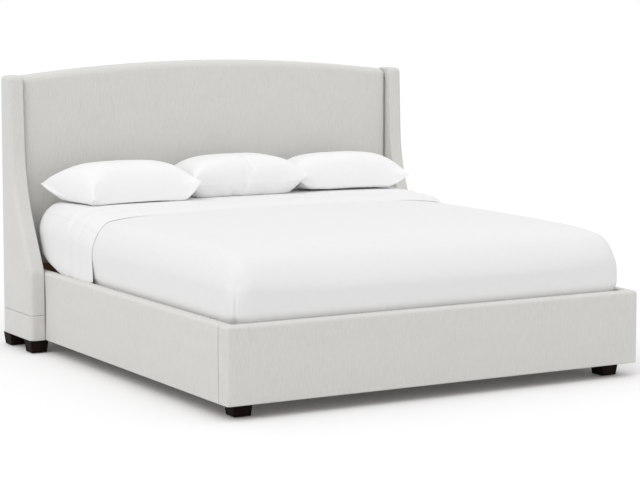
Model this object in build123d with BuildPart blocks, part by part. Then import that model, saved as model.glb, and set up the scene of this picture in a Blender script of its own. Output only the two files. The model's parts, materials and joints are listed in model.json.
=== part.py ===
from build123d import *
from math import sqrt
import os

os.makedirs("parts", exist_ok=True)

# Upholstered wingback bed, in millimetres.
# +Z is up and +Y runs from the foot end to the headboard.
# The origin is on the floor, under the middle of the bed.

# Overall sizes
overall_length = 2250
rail_span = 2080            # across the outer faces of the two side rails
wing_thickness = 74
wing_gap = 1                # shadow line between a wing and what stands beside it
foot_height = 62            # floor to the underside of the upholstery
rail_top = 390
fit_gap = 0.3               # between layers and resting pieces that only touch
overrun = 25                # how far a cut runs past the face that it opens

half_span = rail_span / 2
foot_face = -overall_length / 2
back_face = overall_length / 2
wing_inner = half_span + wing_gap
wing_outer = wing_inner + wing_thickness

# Padded rails
rail_thickness = 50
rail_padding = 6
rail_edge_radius = 7
corner_radius = 12          # upright corner of the foot rail
corner_return = 79          # how far the foot rail's cover turns along the side
seam_gap = 1

rail_inner = half_span - rail_thickness
foot_rail_inner = foot_face + rail_thickness
return_end = foot_face + corner_return
rail_start = return_end + seam_gap
board_top = rail_top - rail_padding
board_outer = half_span - rail_padding
board_inner = rail_inner + rail_padding

# Headboard, layer by layer from the back
headboard_height = 1377
headboard_rise = 63         # crest of the arch above its two ends
headboard_depth = 90
headboard_gap = 2
back_panel_thickness = 4
frame_thickness = 36
facing_thickness = 9
headboard_fabric = 2
pad_edge_radius = 30
pad_side = 6                # least straight side left behind the rolled edge
pad_clearance = 8           # rail top to the lower edge of the padding
stile_width = 90
cross_rail_height = 90
middle_rail_height = 700

headboard_half = half_span - headboard_gap
arch_radius = (headboard_half**2 + headboard_rise**2) / (2 * headboard_rise)
arch_centre = headboard_height - arch_radius
frame_back = back_face - back_panel_thickness
frame_front = frame_back - frame_thickness
facing_front = frame_front - facing_thickness
pad_front = back_face - headboard_depth
pad_bottom = rail_top + pad_clearance
frame_inset = headboard_fabric + fit_gap
frame_half = headboard_half - frame_inset
stile_inner = frame_half - stile_width
pad_roll = min(pad_edge_radius, facing_front - pad_front - pad_side)

# Wings, seen from the side: depths are measured forward from the back face
wing_height = 1322
wing_base_depth = 357
knee_height = 392
sweep_low_height = 604
sweep_low_depth = 239
sweep_high_height = 1000
sweep_high_depth = 129
wing_top_depth = 116
wing_padding = 10
wing_corner_radius = 24
knee_radius = 40
wing_edge_radius = 14
wing_seam_height = 183

# Feet and their glides
foot_top_size = 92
foot_floor_size = 78
foot_corner_radius = 5
foot_lower_radius = 4
foot_inset = 59             # foot-end feet, in from the outer faces of the rails
glide_height = 3
glide_radius = 14
wing_foot_x = wing_outer - foot_top_size / 2
front_wing_foot_y = back_face - wing_base_depth + foot_top_size / 2
back_wing_foot_y = back_face - foot_top_size / 2
end_foot_x = half_span - foot_inset - foot_top_size / 2
end_foot_y = foot_face + foot_inset + foot_top_size / 2

# Corner blocks and bolts
corner_block_size = 110
corner_block_gap = 43       # top of the block to the ledger
bolt_radius = 4
bolt_head_radius = 7.5
bolt_head_height = 5.3
bolt_clearance = 0.2
bolt_bite = 30              # how far a bolt reaches into the last board
side_bolt_shares = (0.28, 0.75)     # of the block's height
end_bolt_shares = (0.12, 0.53)
wing_bolt_gap = 48          # from the rails of the headboard's frame
wing_top_bolt_drop = 194

# Hook hardware that hangs each side rail on the headboard
hook_plate_thickness = 3
hook_plate_width = 30
hook_plate_height = 150
hook_height = 226
hook_pitch = 80
hook_thickness = 4
hook_arm = 14
hook_drop = 10
hook_lip = 5
hook_play = 1
rail_end = facing_front - 2 * hook_plate_thickness
hook_x = (board_outer + board_inner) / 2

# Slatted base
slat_top = 335
slat_thickness = 20
slat_width = 90
slat_count = 12
slat_end_gap = 3
slat_margin = 40            # foot rail or headboard to the nearest slat
ledger_thickness = 28
ledger_height = 40
ledger_end_gap = 2
strap_width = 30
strap_thickness = 1.5
strap_share = 0.48          # of the half width of the slats
beam_width = 40
beam_height = 70
leg_size = 55
leg_place_shares = (-0.5, 0, 0.5)   # of half the beam's length
cup_wall = 3
cup_depth = 45
slat_bottom = slat_top - slat_thickness
slat_half = rail_inner - slat_end_gap
corner_block_height = slat_bottom - ledger_height - corner_block_gap - foot_height
beam_bottom = slat_bottom - beam_height

# Bedding: the duvet fills the well round the mattress and is folded back at the head.
# The sizes leave a mattress of 1930 by 2020.
mattress_head_gap = 75.7    # mattress to the headboard's padding
duvet_side_thickness = 24
duvet_foot_thickness = 16
duvet_head_thickness = 10
duvet_top_thickness = 26
duvet_crest = 700
duvet_crown = 32            # crest down to the start of the rolled edge
duvet_length_crown = 14
duvet_edge = 95
duvet_hem = 15              # slats up to the lower edge of the duvet
duvet_rail_gap = 0.7
side_draw = 6               # how far the sides draw in at the rails
fold_reach = 715            # headboard padding to the fold line
fold_thickness = 16
fold_side_thickness = 13
fold_head_thickness = 12
fold_crown = 3              # across only, since the fold lies level along its length
fold_edge_width = 110
fold_edge_height = 150
bedding_corner = 85
plan_slack = 1              # the plan outline passes this far outside the straight sides
flat_share = 0.66           # part of the half width where the top is almost flat
flat_crown_share = 0.25     # part of the crown that falls within it
shoulder_share = 0.12       # of the crown, how far the shoulder swells above its chord
arc_share = sqrt(0.5)

duvet_half = rail_inner - duvet_rail_gap
duvet_foot = foot_rail_inner - 2 * seam_gap
duvet_low = slat_top + duvet_hem
mattress_half = duvet_half - duvet_side_thickness - fit_gap
mattress_foot = duvet_foot + duvet_foot_thickness + fit_gap
mattress_head = pad_front - mattress_head_gap
duvet_head = mattress_head + fit_gap + duvet_head_thickness
fold_low = rail_top + seam_gap
fold_line = pad_front - fold_reach
fold_crest = duvet_crest + fold_thickness

# Pillows, left to right, each squeezed a little by its neighbours
pillow_names = ("left", "middle", "right")
pillow_width_shares = (0.3514, 0.3174, 0.3312)
pillow_gap = 3
pillow_left_inset = 10.3    # side of the duvet to the row of pillows
pillow_right_inset = 78.3
pillow_head_gap = 50.5      # pillows to the headboard's padding
pillow_depth = 415
pillow_height = 192
pillow_seam_height = 75
pillow_sink = 5             # depth of the flat where a pillow rests
pillow_seam = 9
pillow_side_pull = 16
pillow_end_pull = 18
pillow_stations_and_fill_shares = (
    (0, 1), (0.3, 0.985), (0.55, 0.92), (0.75, 0.78), (0.88, 0.58), (0.96, 0.34), (1, 0.1))

pillow_y = pad_front - pillow_head_gap - pillow_depth / 2
pillow_row_start = pillow_left_inset - duvet_half
pillow_row_end = duvet_half - pillow_right_inset
pillow_cloth = pillow_row_end - pillow_row_start - (len(pillow_names) - 1) * pillow_gap

sides = (("left", -1), ("right", 1))


# A plain block between two corners
def block(low_x, high_x, low_y, high_y, low_z, high_z):
    with BuildPart() as piece:
        with BuildSketch(Plane.XY.offset(low_z)):
            with Locations(((low_x + high_x) / 2, (low_y + high_y) / 2)):
                Rectangle(abs(high_x - low_x), high_y - low_y)
        extrude(amount=high_z - low_z)
    return piece


# Bolts with hex heads that sit on the given planes and run along their normals
def bolt_set(planes, length):
    with BuildPart() as bolts:
        for plane in planes:
            with BuildSketch(plane):
                Circle(bolt_radius)
            extrude(amount=length)
            with BuildSketch(plane):
                RegularPolygon(bolt_head_radius, 6)
            extrude(amount=-bolt_head_height)
    return bolts


# The round bores that clear those bolts
def bolt_bores(planes, length):
    with BuildPart() as bores:
        for plane in planes:
            with BuildSketch(plane.offset(-overrun)):
                Circle(bolt_radius + bolt_clearance)
            extrude(amount=overrun + length + bolt_clearance)
    return bores.part


# Height of the headboard's arch at a distance from the middle, inset from the cover
def arch_height(x, inset):
    return arch_centre + sqrt((arch_radius - inset)**2 - x**2)


def headboard_layer(half_width, inset, bottom, front, back):
    edge_height = arch_height(half_width, inset)
    with BuildPart() as layer:
        with BuildSketch(Plane.XZ.offset(-back)):
            with BuildLine():
                Polyline((half_width, edge_height), (half_width, bottom),
                         (-half_width, bottom), (-half_width, edge_height))
                ThreePointArc((-half_width, edge_height), (0, headboard_height - inset),
                              (half_width, edge_height))
            make_face()
        extrude(amount=back - front)
    return layer


# A layer of the padding, with its front edges rolled over
def padded_layer(inset, front, back):
    layer = headboard_layer(headboard_half - inset, inset, pad_bottom, front, back)
    with BuildPart() as padding:
        add(layer.part)
        fillet(padding.faces().sort_by(Axis.Y)[0].edges().sort_by(Axis.Z)[1:],
               pad_roll - inset)
    return padding


wing_bolt_y = (frame_front + frame_back) / 2
wing_bolt_heights = (foot_height + cross_rail_height + wing_bolt_gap,
                     middle_rail_height - wing_bolt_gap,
                     min(wing_height, headboard_height - headboard_rise) - wing_top_bolt_drop)
wing_bolt_planes = [Plane(origin=(side * stile_inner, wing_bolt_y, height), z_dir=(side, 0, 0))
                    for _, side in sides for height in wing_bolt_heights]
wing_bolt_length = wing_inner + wing_padding + bolt_bite - stile_inner
wing_bolt_bores = bolt_bores(wing_bolt_planes, wing_bolt_length)

wing_bolts = bolt_set(wing_bolt_planes, wing_bolt_length)
wing_bolts.part.label = "wing_bolts"
export_step(wing_bolts.part, "parts/wing_bolts.step")

frame_layer = headboard_layer(frame_half, frame_inset, foot_height, frame_front, frame_back)
for name, side in sides:
    stile_span = block(side * stile_inner, side * (frame_half + overrun), frame_front,
                       frame_back, foot_height, headboard_height)
    with BuildPart() as stile:
        add(frame_layer.part)
        add(stile_span.part, mode=Mode.INTERSECT)
        add(wing_bolt_bores, mode=Mode.SUBTRACT)
    stile.part.label = f"headboard_{name}_stile"
    export_step(stile.part, f"parts/headboard_{name}_stile.step")

top_rail_bottom = arch_height(stile_inner, frame_inset) - cross_rail_height
headboard_top_rail = headboard_layer(
    stile_inner, frame_inset, top_rail_bottom, frame_front, frame_back)
headboard_top_rail.part.label = "headboard_top_rail"
export_step(headboard_top_rail.part, "parts/headboard_top_rail.step")

for name, low in (("bottom", foot_height), ("middle", middle_rail_height)):
    cross_rail = block(-stile_inner, stile_inner, frame_front, frame_back,
                       low, low + cross_rail_height)
    cross_rail.part.label = f"headboard_{name}_rail"
    export_step(cross_rail.part, f"parts/headboard_{name}_rail.step")

# Hook plates: the fingers on the rails drop into slots in the plates on the headboard
hook_lows = [hook_height + share * hook_pitch - hook_arm / 2 for share in (-0.5, 0.5)]
hook_slot_half = hook_thickness / 2 + hook_play
hook_start = rail_end + hook_plate_thickness
hook_end = facing_front + hook_play + hook_lip
hook_pockets = [block(side * hook_x - hook_slot_half, side * hook_x + hook_slot_half,
                      hook_start, hook_end + hook_play,
                      low - hook_drop - hook_play, low + hook_arm + hook_play)
                for _, side in sides for low in hook_lows]

with BuildPart() as rail_hooks:
    for _, side in sides:
        with BuildSketch(Plane.XZ.offset(-hook_start)):
            with Locations((side * hook_x, hook_height)):
                Rectangle(hook_plate_width, hook_plate_height)
        extrude(amount=hook_plate_thickness)
        for low in hook_lows:
            with BuildSketch(Plane.YZ.offset(side * hook_x - hook_thickness / 2)):
                with BuildLine():
                    Polyline((hook_start, low), (hook_start, low + hook_arm),
                             (hook_end, low + hook_arm), (hook_end, low - hook_drop),
                             (hook_end - hook_lip, low - hook_drop),
                             (hook_end - hook_lip, low), close=True)
                make_face()
            extrude(amount=hook_thickness)
rail_hooks.part.label = "rail_hooks"
export_step(rail_hooks.part, "parts/rail_hooks.step")

with BuildPart() as hook_plates:
    for _, side in sides:
        with BuildSketch(Plane.XZ.offset(-facing_front)):
            with Locations((side * hook_x, hook_height)):
                Rectangle(hook_plate_width, hook_plate_height)
        extrude(amount=hook_plate_thickness)
    for pocket in hook_pockets:
        add(pocket.part, mode=Mode.SUBTRACT)
hook_plates.part.label = "hook_plates"
export_step(hook_plates.part, "parts/hook_plates.step")

facing_layer = headboard_layer(frame_half, frame_inset, foot_height, facing_front, frame_front)
with BuildPart() as headboard_facing_board:
    add(facing_layer.part)
    for pocket in hook_pockets:
        add(pocket.part, mode=Mode.SUBTRACT)
headboard_facing_board.part.label = "headboard_facing_board"
export_step(headboard_facing_board.part, "parts/headboard_facing_board.step")

headboard_foam = padded_layer(frame_inset, pad_front + frame_inset, facing_front)
headboard_foam.part.label = "headboard_foam"
export_step(headboard_foam.part, "parts/headboard_foam.step")

cover_outside = padded_layer(0, pad_front, frame_back)
cover_inside = padded_layer(headboard_fabric, pad_front + headboard_fabric, frame_back)
with BuildPart() as headboard_cover:
    add(cover_outside.part)
    add(cover_inside.part, mode=Mode.SUBTRACT)
    add(wing_bolt_bores, mode=Mode.SUBTRACT)
headboard_cover.part.label = "headboard_cover"
export_step(headboard_cover.part, "parts/headboard_cover.step")

headboard_back_panel = headboard_layer(headboard_half, 0, foot_height, frame_back, back_face)
headboard_back_panel.part.label = "headboard_back_panel"
export_step(headboard_back_panel.part, "parts/headboard_back_panel.step")


# Side outline of a wing, inset all round except at the bottom
def wing_profile(inset):
    low = foot_height - inset
    front = back_face - wing_base_depth
    sweep_low = (back_face - sweep_low_depth, sweep_low_height)
    sweep_high = (back_face - sweep_high_depth, sweep_high_height)
    top_front = (back_face - wing_top_depth, wing_height)
    with BuildSketch() as profile:
        with BuildLine():
            Polyline(top_front, (back_face, wing_height), (back_face, low),
                     (front, low), (front, knee_height))
            slope = Line((front, knee_height), sweep_low)
            TangentArc(sweep_low, sweep_high, tangent=slope % 1)
            Line(sweep_high, top_front)
        make_face()
        fillet(profile.vertices().group_by(Axis.Y)[-1], wing_corner_radius)
        fillet(profile.vertices().sort_by_distance((front, knee_height))[0], knee_radius)
        if inset > 0:
            offset(amount=-inset)
    return profile.sketch


def wing_slab(inset, inner, thickness, side):
    profile = wing_profile(inset)
    with BuildPart() as slab:
        with BuildSketch(Plane.YZ.offset(side * inner)):
            add(profile)
        extrude(amount=side * thickness)
    return slab


wing_core_thickness = wing_thickness - 2 * wing_padding
for name, side in sides:
    core_slab = wing_slab(wing_padding + fit_gap, wing_inner + wing_padding + fit_gap,
                          wing_core_thickness - 2 * fit_gap, side)
    with BuildPart() as wing_core:
        add(core_slab.part)
        add(wing_bolt_bores, mode=Mode.SUBTRACT)
    wing_core.part.label = f"{name}_wing_core"
    export_step(wing_core.part, f"parts/{name}_wing_core.step")

    outer_slab = wing_slab(0, wing_inner, wing_thickness, side)
    core_cavity = wing_slab(wing_padding, wing_inner + wing_padding, wing_core_thickness, side)
    with BuildPart() as wing_cover:
        add(outer_slab.part)
        fillet([edge for face in wing_cover.faces().filter_by(Axis.X)
                for edge in face.edges().sort_by(Axis.Z)[1:]], wing_edge_radius)
        add(core_cavity.part, mode=Mode.SUBTRACT)
        add(wing_bolt_bores, mode=Mode.SUBTRACT)
    with BuildPart() as wing_upper_cover:
        add(wing_cover.part)
        split(bisect_by=Plane.XY.offset(wing_seam_height + seam_gap / 2), keep=Keep.TOP)
    wing_upper_cover.part.label = f"{name}_wing_upper_cover"
    export_step(wing_upper_cover.part, f"parts/{name}_wing_upper_cover.step")
    with BuildPart() as wing_lower_cover:
        add(wing_cover.part)
        split(bisect_by=Plane.XY.offset(wing_seam_height - seam_gap / 2), keep=Keep.BOTTOM)
    wing_lower_cover.part.label = f"{name}_wing_lower_cover"
    export_step(wing_lower_cover.part, f"parts/{name}_wing_lower_cover.step")

# Feet: square blocks that narrow to the floor, each on a round glide
foot_places = [(f"{name}_{place}_foot", side * x, y) for name, side in sides
               for place, x, y in (("front_wing", wing_foot_x, front_wing_foot_y),
                                   ("back_wing", wing_foot_x, back_wing_foot_y),
                                   ("end", end_foot_x, end_foot_y))]
for node, x, y in foot_places:
    with BuildPart() as foot:
        with BuildSketch(Plane.XY.offset(glide_height)):
            with Locations((x, y)):
                RectangleRounded(foot_floor_size, foot_floor_size, foot_corner_radius)
        with BuildSketch(Plane.XY.offset(foot_height)):
            with Locations((x, y)):
                RectangleRounded(foot_top_size, foot_top_size, foot_corner_radius)
        loft()
        fillet(foot.edges().group_by(Axis.Z)[0], foot_lower_radius)
    foot.part.label = node
    export_step(foot.part, f"parts/{node}.step")

# Corner bolts: one pair into the side rail and one into the foot rail, at each corner
side_bolt_y = (rail_start + foot_rail_inner + corner_block_size) / 2
side_bolt_planes = [Plane(origin=(side * (rail_inner - corner_block_size), side_bolt_y,
                                  foot_height + share * corner_block_height),
                          z_dir=(side, 0, 0))
                    for _, side in sides for share in side_bolt_shares]
end_bolt_planes = [Plane(origin=(side * (rail_inner - corner_block_size / 2),
                                 foot_rail_inner + corner_block_size,
                                 foot_height + share * corner_block_height),
                         z_dir=(0, -1, 0))
                   for _, side in sides for share in end_bolt_shares]
corner_bolt_planes = side_bolt_planes + end_bolt_planes
corner_bolt_length = corner_block_size + rail_padding + bolt_bite
corner_bores = bolt_bores(corner_bolt_planes, corner_bolt_length)

corner_bolts = bolt_set(corner_bolt_planes, corner_bolt_length)
corner_bolts.part.label = "corner_bolts"
export_step(corner_bolts.part, "parts/corner_bolts.step")

# Side rails: a board in a padded cover that is open underneath
for name, side in sides:
    rail_core = block(side * board_inner, side * board_outer, rail_start, rail_end,
                      foot_height, board_top)
    with BuildPart() as rail_board:
        add(rail_core.part)
        add(corner_bores, mode=Mode.SUBTRACT)
    rail_board.part.label = f"{name}_rail_board"
    export_step(rail_board.part, f"parts/{name}_rail_board.step")

    with BuildPart() as rail_cover:
        with BuildSketch(Plane.XZ.offset(-rail_end)) as section:
            with Locations((side * (half_span + rail_inner) / 2, (foot_height + rail_top) / 2)):
                Rectangle(rail_thickness, rail_top - foot_height)
            fillet(section.vertices().group_by(Axis.Y)[-1], rail_edge_radius)
        extrude(amount=rail_end - rail_start)
        add(rail_core.part, mode=Mode.SUBTRACT)
        add(corner_bores, mode=Mode.SUBTRACT)
    rail_cover.part.label = f"{name}_rail_cover"
    export_step(rail_cover.part, f"parts/{name}_rail_cover.step")

    corner_body = block(side * (rail_inner - corner_block_size), side * rail_inner,
                        foot_rail_inner, foot_rail_inner + corner_block_size,
                        foot_height, foot_height + corner_block_height)
    with BuildPart() as corner_block:
        add(corner_body.part)
        add(corner_bores, mode=Mode.SUBTRACT)
    corner_block.part.label = f"{name}_corner_block"
    export_step(corner_block.part, f"parts/{name}_corner_block.step")

    slat_ledger = block(side * (rail_inner - ledger_thickness), side * rail_inner,
                        foot_rail_inner + ledger_end_gap, facing_front - ledger_end_gap,
                        slat_bottom - ledger_height, slat_bottom)
    slat_ledger.part.label = f"{name}_slat_ledger"
    export_step(slat_ledger.part, f"parts/{name}_slat_ledger.step")


# Foot rail: its ends turn the corners and meet the side rails at a seam
def foot_rail_shape(outer_half, front, inner_half, inner_front, top):
    with BuildPart() as shape:
        with BuildSketch(Plane.XY.offset(foot_height)):
            with BuildLine():
                Polyline((outer_half, return_end), (outer_half, front), (-outer_half, front),
                         (-outer_half, return_end), (-inner_half, return_end),
                         (-inner_half, inner_front), (inner_half, inner_front),
                         (inner_half, return_end), close=True)
            make_face()
        extrude(amount=top - foot_height)
    return shape


foot_rail_core = foot_rail_shape(board_outer, foot_face + rail_padding, board_inner,
                                 foot_rail_inner - rail_padding, board_top)
with BuildPart() as foot_rail_board:
    add(foot_rail_core.part)
    add(corner_bores, mode=Mode.SUBTRACT)
foot_rail_board.part.label = "foot_rail_board"
export_step(foot_rail_board.part, "parts/foot_rail_board.step")

foot_rail_outside = foot_rail_shape(half_span, foot_face, rail_inner, foot_rail_inner, rail_top)
with BuildPart() as foot_rail_cover:
    add(foot_rail_outside.part)
    fillet(foot_rail_cover.edges().filter_by(Axis.Z).group_by(Axis.Y)[0], corner_radius)
    top_edges = foot_rail_cover.faces().sort_by(Axis.Z)[-1].edges()
    fillet([edge for edge in top_edges if edge.center().Y < return_end - seam_gap],
           rail_edge_radius)
    add(foot_rail_core.part, mode=Mode.SUBTRACT)
    add(corner_bores, mode=Mode.SUBTRACT)
foot_rail_cover.part.label = "foot_rail_cover"
export_step(foot_rail_cover.part, "parts/foot_rail_cover.step")

# Centre beam in two steel cups, on three legs
cup_floor = beam_bottom - cup_wall
cup_half = beam_width / 2 + cup_wall
cup_starts = (foot_rail_inner, facing_front - cup_depth)
centre_beam = block(-beam_width / 2, beam_width / 2, foot_rail_inner + cup_wall,
                    facing_front - cup_wall, beam_bottom, slat_bottom)
centre_beam.part.label = "centre_beam"
export_step(centre_beam.part, "parts/centre_beam.step")

with BuildPart() as beam_cups:
    for start in cup_starts:
        with BuildSketch(Plane.XY.offset(cup_floor)):
            with Locations((0, start + cup_depth / 2)):
                Rectangle(2 * cup_half, cup_depth)
        extrude(amount=slat_bottom - cup_floor)
    add(centre_beam.part, mode=Mode.SUBTRACT)
beam_cups.part.label = "beam_cups"
export_step(beam_cups.part, "parts/beam_cups.step")

beam_middle = (foot_rail_inner + facing_front) / 2
leg_places = [beam_middle + share * (facing_front - foot_rail_inner) / 2
              for share in leg_place_shares]
for number, y in enumerate(leg_places, 1):
    centre_leg = block(-leg_size / 2, leg_size / 2, y - leg_size / 2, y + leg_size / 2,
                       glide_height, beam_bottom)
    centre_leg.part.label = f"centre_leg_{number}"
    export_step(centre_leg.part, f"parts/centre_leg_{number}.step")

with BuildPart() as foot_glides:
    with BuildSketch():
        with Locations([(x, y) for _, x, y in foot_places] + [(0, y) for y in leg_places]):
            Circle(glide_radius)
    extrude(amount=glide_height)
foot_glides.part.label = "foot_glides"
export_step(foot_glides.part, "parts/foot_glides.step")

# Slats across the ledgers and the beam, joined underneath by two straps
first_slat = foot_rail_inner + slat_margin + slat_width / 2
last_slat = facing_front - slat_margin - slat_width / 2
slat_pitch = (last_slat - first_slat) / (slat_count - 1)
for number in range(slat_count):
    y = first_slat + number * slat_pitch
    slat = block(-slat_half, slat_half, y - slat_width / 2, y + slat_width / 2,
                 slat_bottom, slat_top)
    slat.part.label = f"slat_{number + 1:02d}"
    export_step(slat.part, f"parts/slat_{number + 1:02d}.step")

with BuildPart() as slat_straps:
    with BuildSketch(Plane.XY.offset(slat_bottom - strap_thickness)):
        with Locations([(side * strap_share * slat_half, (first_slat + last_slat) / 2)
                        for _, side in sides]):
            Rectangle(strap_width, last_slat - first_slat + slat_width)
    extrude(amount=strap_thickness)
slat_straps.part.label = "slat_straps"
export_step(slat_straps.part, "parts/slat_straps.step")


# Half outline of a soft block: drawn in below, rolled over at the edge, crowned on top
def soft_outline(half, low, crest, crown, edge_width, edge_height):
    edge_top = crest - crown
    edge_low = edge_top - edge_height
    side_low = (half - side_draw, low)
    side_middle = (half - side_draw * (1 - arc_share), (low + edge_low) / 2)
    roll_start = (half, edge_low)
    roll_middle = (half - edge_width * (1 - arc_share), edge_low + edge_height * arc_share)
    roll_end = (half - edge_width, edge_top)
    return side_low, side_middle, roll_start, roll_middle, roll_end


def mirrored(point):
    return -point[0], point[1]


# A soft block: its cross section, its side outline and its plan cut one another.
# The two crowns are the rise of its top across the bed and along it.
def soft_block(half, foot, head, low, crest, crowns, edge_width, edge_height):
    middle = (foot + head) / 2
    half_length = (head - foot) / 2
    side_low, side_middle, roll_start, roll_middle, roll_end = soft_outline(
        half, low, crest, crowns[0], edge_width, edge_height)
    flat = (half * flat_share, crest - crowns[0] * flat_crown_share)
    shoulder = ((flat[0] + roll_end[0]) / 2,
                (flat[1] + roll_end[1]) / 2 + crowns[0] * shoulder_share)
    end_low, end_middle, end_start, end_roll, end_top = soft_outline(
        half_length, low, crest, crowns[1], edge_width, edge_height)
    with BuildPart() as form:
        with BuildSketch(Plane.XZ.offset(-middle)):
            with BuildLine():
                Line(mirrored(side_low), side_low)
                ThreePointArc(side_low, side_middle, roll_start)
                ThreePointArc(roll_start, roll_middle, roll_end)
                ThreePointArc(roll_end, shoulder, flat)
                ThreePointArc(flat, (0, crest), mirrored(flat))
                ThreePointArc(mirrored(flat), mirrored(shoulder), mirrored(roll_end))
                ThreePointArc(mirrored(roll_end), mirrored(roll_middle), mirrored(roll_start))
                ThreePointArc(mirrored(roll_start), mirrored(side_middle), mirrored(side_low))
            make_face()
        extrude(amount=half_length + overrun, both=True)
        with BuildSketch(Plane(origin=(0, middle, 0), x_dir=(0, 1, 0), z_dir=(1, 0, 0))):
            with BuildLine():
                Line(mirrored(end_low), end_low)
                ThreePointArc(end_low, end_middle, end_start)
                ThreePointArc(end_start, end_roll, end_top)
                if crowns[1] > 0:
                    ThreePointArc(end_top, (0, crest), mirrored(end_top))
                else:
                    Line(end_top, mirrored(end_top))
                ThreePointArc(mirrored(end_top), mirrored(end_roll), mirrored(end_start))
                ThreePointArc(mirrored(end_start), mirrored(end_middle), mirrored(end_low))
            make_face()
        extrude(amount=half + overrun, both=True, mode=Mode.INTERSECT)
        with BuildSketch(Plane.XY.offset(low - overrun)):
            with Locations((0, middle)):
                RectangleRounded(2 * (half + plan_slack), 2 * (half_length + plan_slack),
                                 bedding_corner)
        extrude(amount=crest - low + 2 * overrun, mode=Mode.INTERSECT)
    return form


duvet_crowns = (duvet_crown, duvet_length_crown)
mattress_low = slat_top + fit_gap
mattress_crest = duvet_crest - duvet_top_thickness - fit_gap
mattress_edge = duvet_edge - duvet_side_thickness
mattress = soft_block(mattress_half, mattress_foot, mattress_head, mattress_low,
                      mattress_crest, duvet_crowns, mattress_edge, mattress_edge)
mattress.part.label = "mattress"
export_step(mattress.part, "parts/mattress.step")

duvet_form = soft_block(duvet_half, duvet_foot, duvet_head, duvet_low, duvet_crest,
                        duvet_crowns, duvet_edge, duvet_edge)
mattress_space = soft_block(mattress_half + fit_gap, mattress_foot - fit_gap,
                            mattress_head + fit_gap, mattress_low, mattress_crest + fit_gap,
                            duvet_crowns, mattress_edge, mattress_edge)
with BuildPart() as duvet:
    add(duvet_form.part)
    add(mattress_space.part, mode=Mode.SUBTRACT)
duvet.part.label = "duvet"
export_step(duvet.part, "parts/duvet.step")

# The head end of the duvet, folded back over itself and down both sides
fold_form = soft_block(duvet_half + fit_gap + fold_side_thickness, duvet_foot,
                       duvet_head + fit_gap + fold_head_thickness, fold_low, fold_crest,
                       (fold_crown, 0), fold_edge_width, fold_edge_height)
duvet_space = soft_block(duvet_half + fit_gap, duvet_foot - fit_gap, duvet_head + fit_gap,
                         duvet_low, duvet_crest + fit_gap, duvet_crowns, duvet_edge,
                         duvet_edge)
with BuildPart() as duvet_fold:
    add(fold_form.part)
    add(duvet_space.part, mode=Mode.SUBTRACT)
    split(bisect_by=Plane.XZ.offset(-fold_line), keep=Keep.BOTTOM)
duvet_fold.part.label = "duvet_fold"
export_step(duvet_fold.part, "parts/duvet_fold.step")


# Pillows: lens-shaped sections that thin out towards drawn-in ends, flat underneath
def pillow_form(start, width):
    rest = fold_crest + fit_gap
    seam_height = rest + pillow_seam_height
    half_width = width / 2
    middle = start + half_width
    half_seam = pillow_seam / 2
    top_rise = pillow_height - pillow_seam_height - half_seam
    bottom_drop = pillow_seam_height + pillow_sink - half_seam
    stations = [(-share, fill) for share, fill in pillow_stations_and_fill_shares[:0:-1]]
    stations += pillow_stations_and_fill_shares
    half_depth = pillow_depth / 2
    end_radius = (half_depth**2 + pillow_end_pull**2) / (2 * pillow_end_pull)
    with BuildPart() as pillow:
        for share, fill in stations:
            reach = half_depth - pillow_side_pull * (1 - share**2)
            top = half_seam + top_rise * fill
            bottom = half_seam + bottom_drop * fill
            section = Plane(origin=(middle + share * half_width, pillow_y, seam_height),
                            x_dir=(0, 1, 0), z_dir=(1, 0, 0))
            with BuildSketch(section):
                with BuildLine():
                    Line((-reach, -half_seam), (-reach, half_seam))
                    ThreePointArc((-reach, half_seam), (0, top), (reach, half_seam))
                    Line((reach, half_seam), (reach, -half_seam))
                    ThreePointArc((reach, -half_seam), (0, -bottom), (-reach, -half_seam))
                make_face()
        loft()
        with BuildSketch(Plane.XY.offset(rest)):
            for side in (-1, 1):
                with Locations((middle + side * (half_width + end_radius - pillow_end_pull),
                                pillow_y)):
                    Circle(end_radius)
        extrude(amount=pillow_height, mode=Mode.SUBTRACT)
        split(bisect_by=Plane.XY.offset(rest), keep=Keep.TOP)
    return pillow


pillow_start = pillow_row_start
for name, share in zip(pillow_names, pillow_width_shares):
    width = share * pillow_cloth
    pillow = pillow_form(pillow_start, width)
    pillow.part.label = f"{name}_pillow"
    export_step(pillow.part, f"parts/{name}_pillow.step")
    pillow_start += width + pillow_gap
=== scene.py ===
import json
import math

import bmesh
import bpy
import numpy as np
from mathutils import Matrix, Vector, noise


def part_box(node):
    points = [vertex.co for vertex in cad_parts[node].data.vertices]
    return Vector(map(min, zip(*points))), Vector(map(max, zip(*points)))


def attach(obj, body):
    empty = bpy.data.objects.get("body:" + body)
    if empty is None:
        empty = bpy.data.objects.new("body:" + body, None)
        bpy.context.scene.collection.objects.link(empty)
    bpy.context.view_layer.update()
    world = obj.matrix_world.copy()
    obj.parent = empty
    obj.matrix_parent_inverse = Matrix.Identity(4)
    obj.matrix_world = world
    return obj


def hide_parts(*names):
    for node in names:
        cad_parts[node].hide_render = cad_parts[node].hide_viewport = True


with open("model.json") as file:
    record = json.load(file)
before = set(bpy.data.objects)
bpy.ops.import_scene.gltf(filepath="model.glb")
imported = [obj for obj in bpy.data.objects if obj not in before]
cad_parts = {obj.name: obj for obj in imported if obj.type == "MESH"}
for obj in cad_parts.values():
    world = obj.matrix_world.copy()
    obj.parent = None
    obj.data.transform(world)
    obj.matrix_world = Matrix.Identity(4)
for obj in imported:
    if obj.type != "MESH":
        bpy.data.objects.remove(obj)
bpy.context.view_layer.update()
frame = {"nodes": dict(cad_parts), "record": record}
scene = bpy.context.scene

# Camera, floor and light

cameraSetup = {
    "place": (-4.8921, -8.5794, 1.7425),
    "turn": 0.52145,
    "lookDown": 0.09985,
    "lens": 118.893,
    "shift": -0.0625,
}

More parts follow.
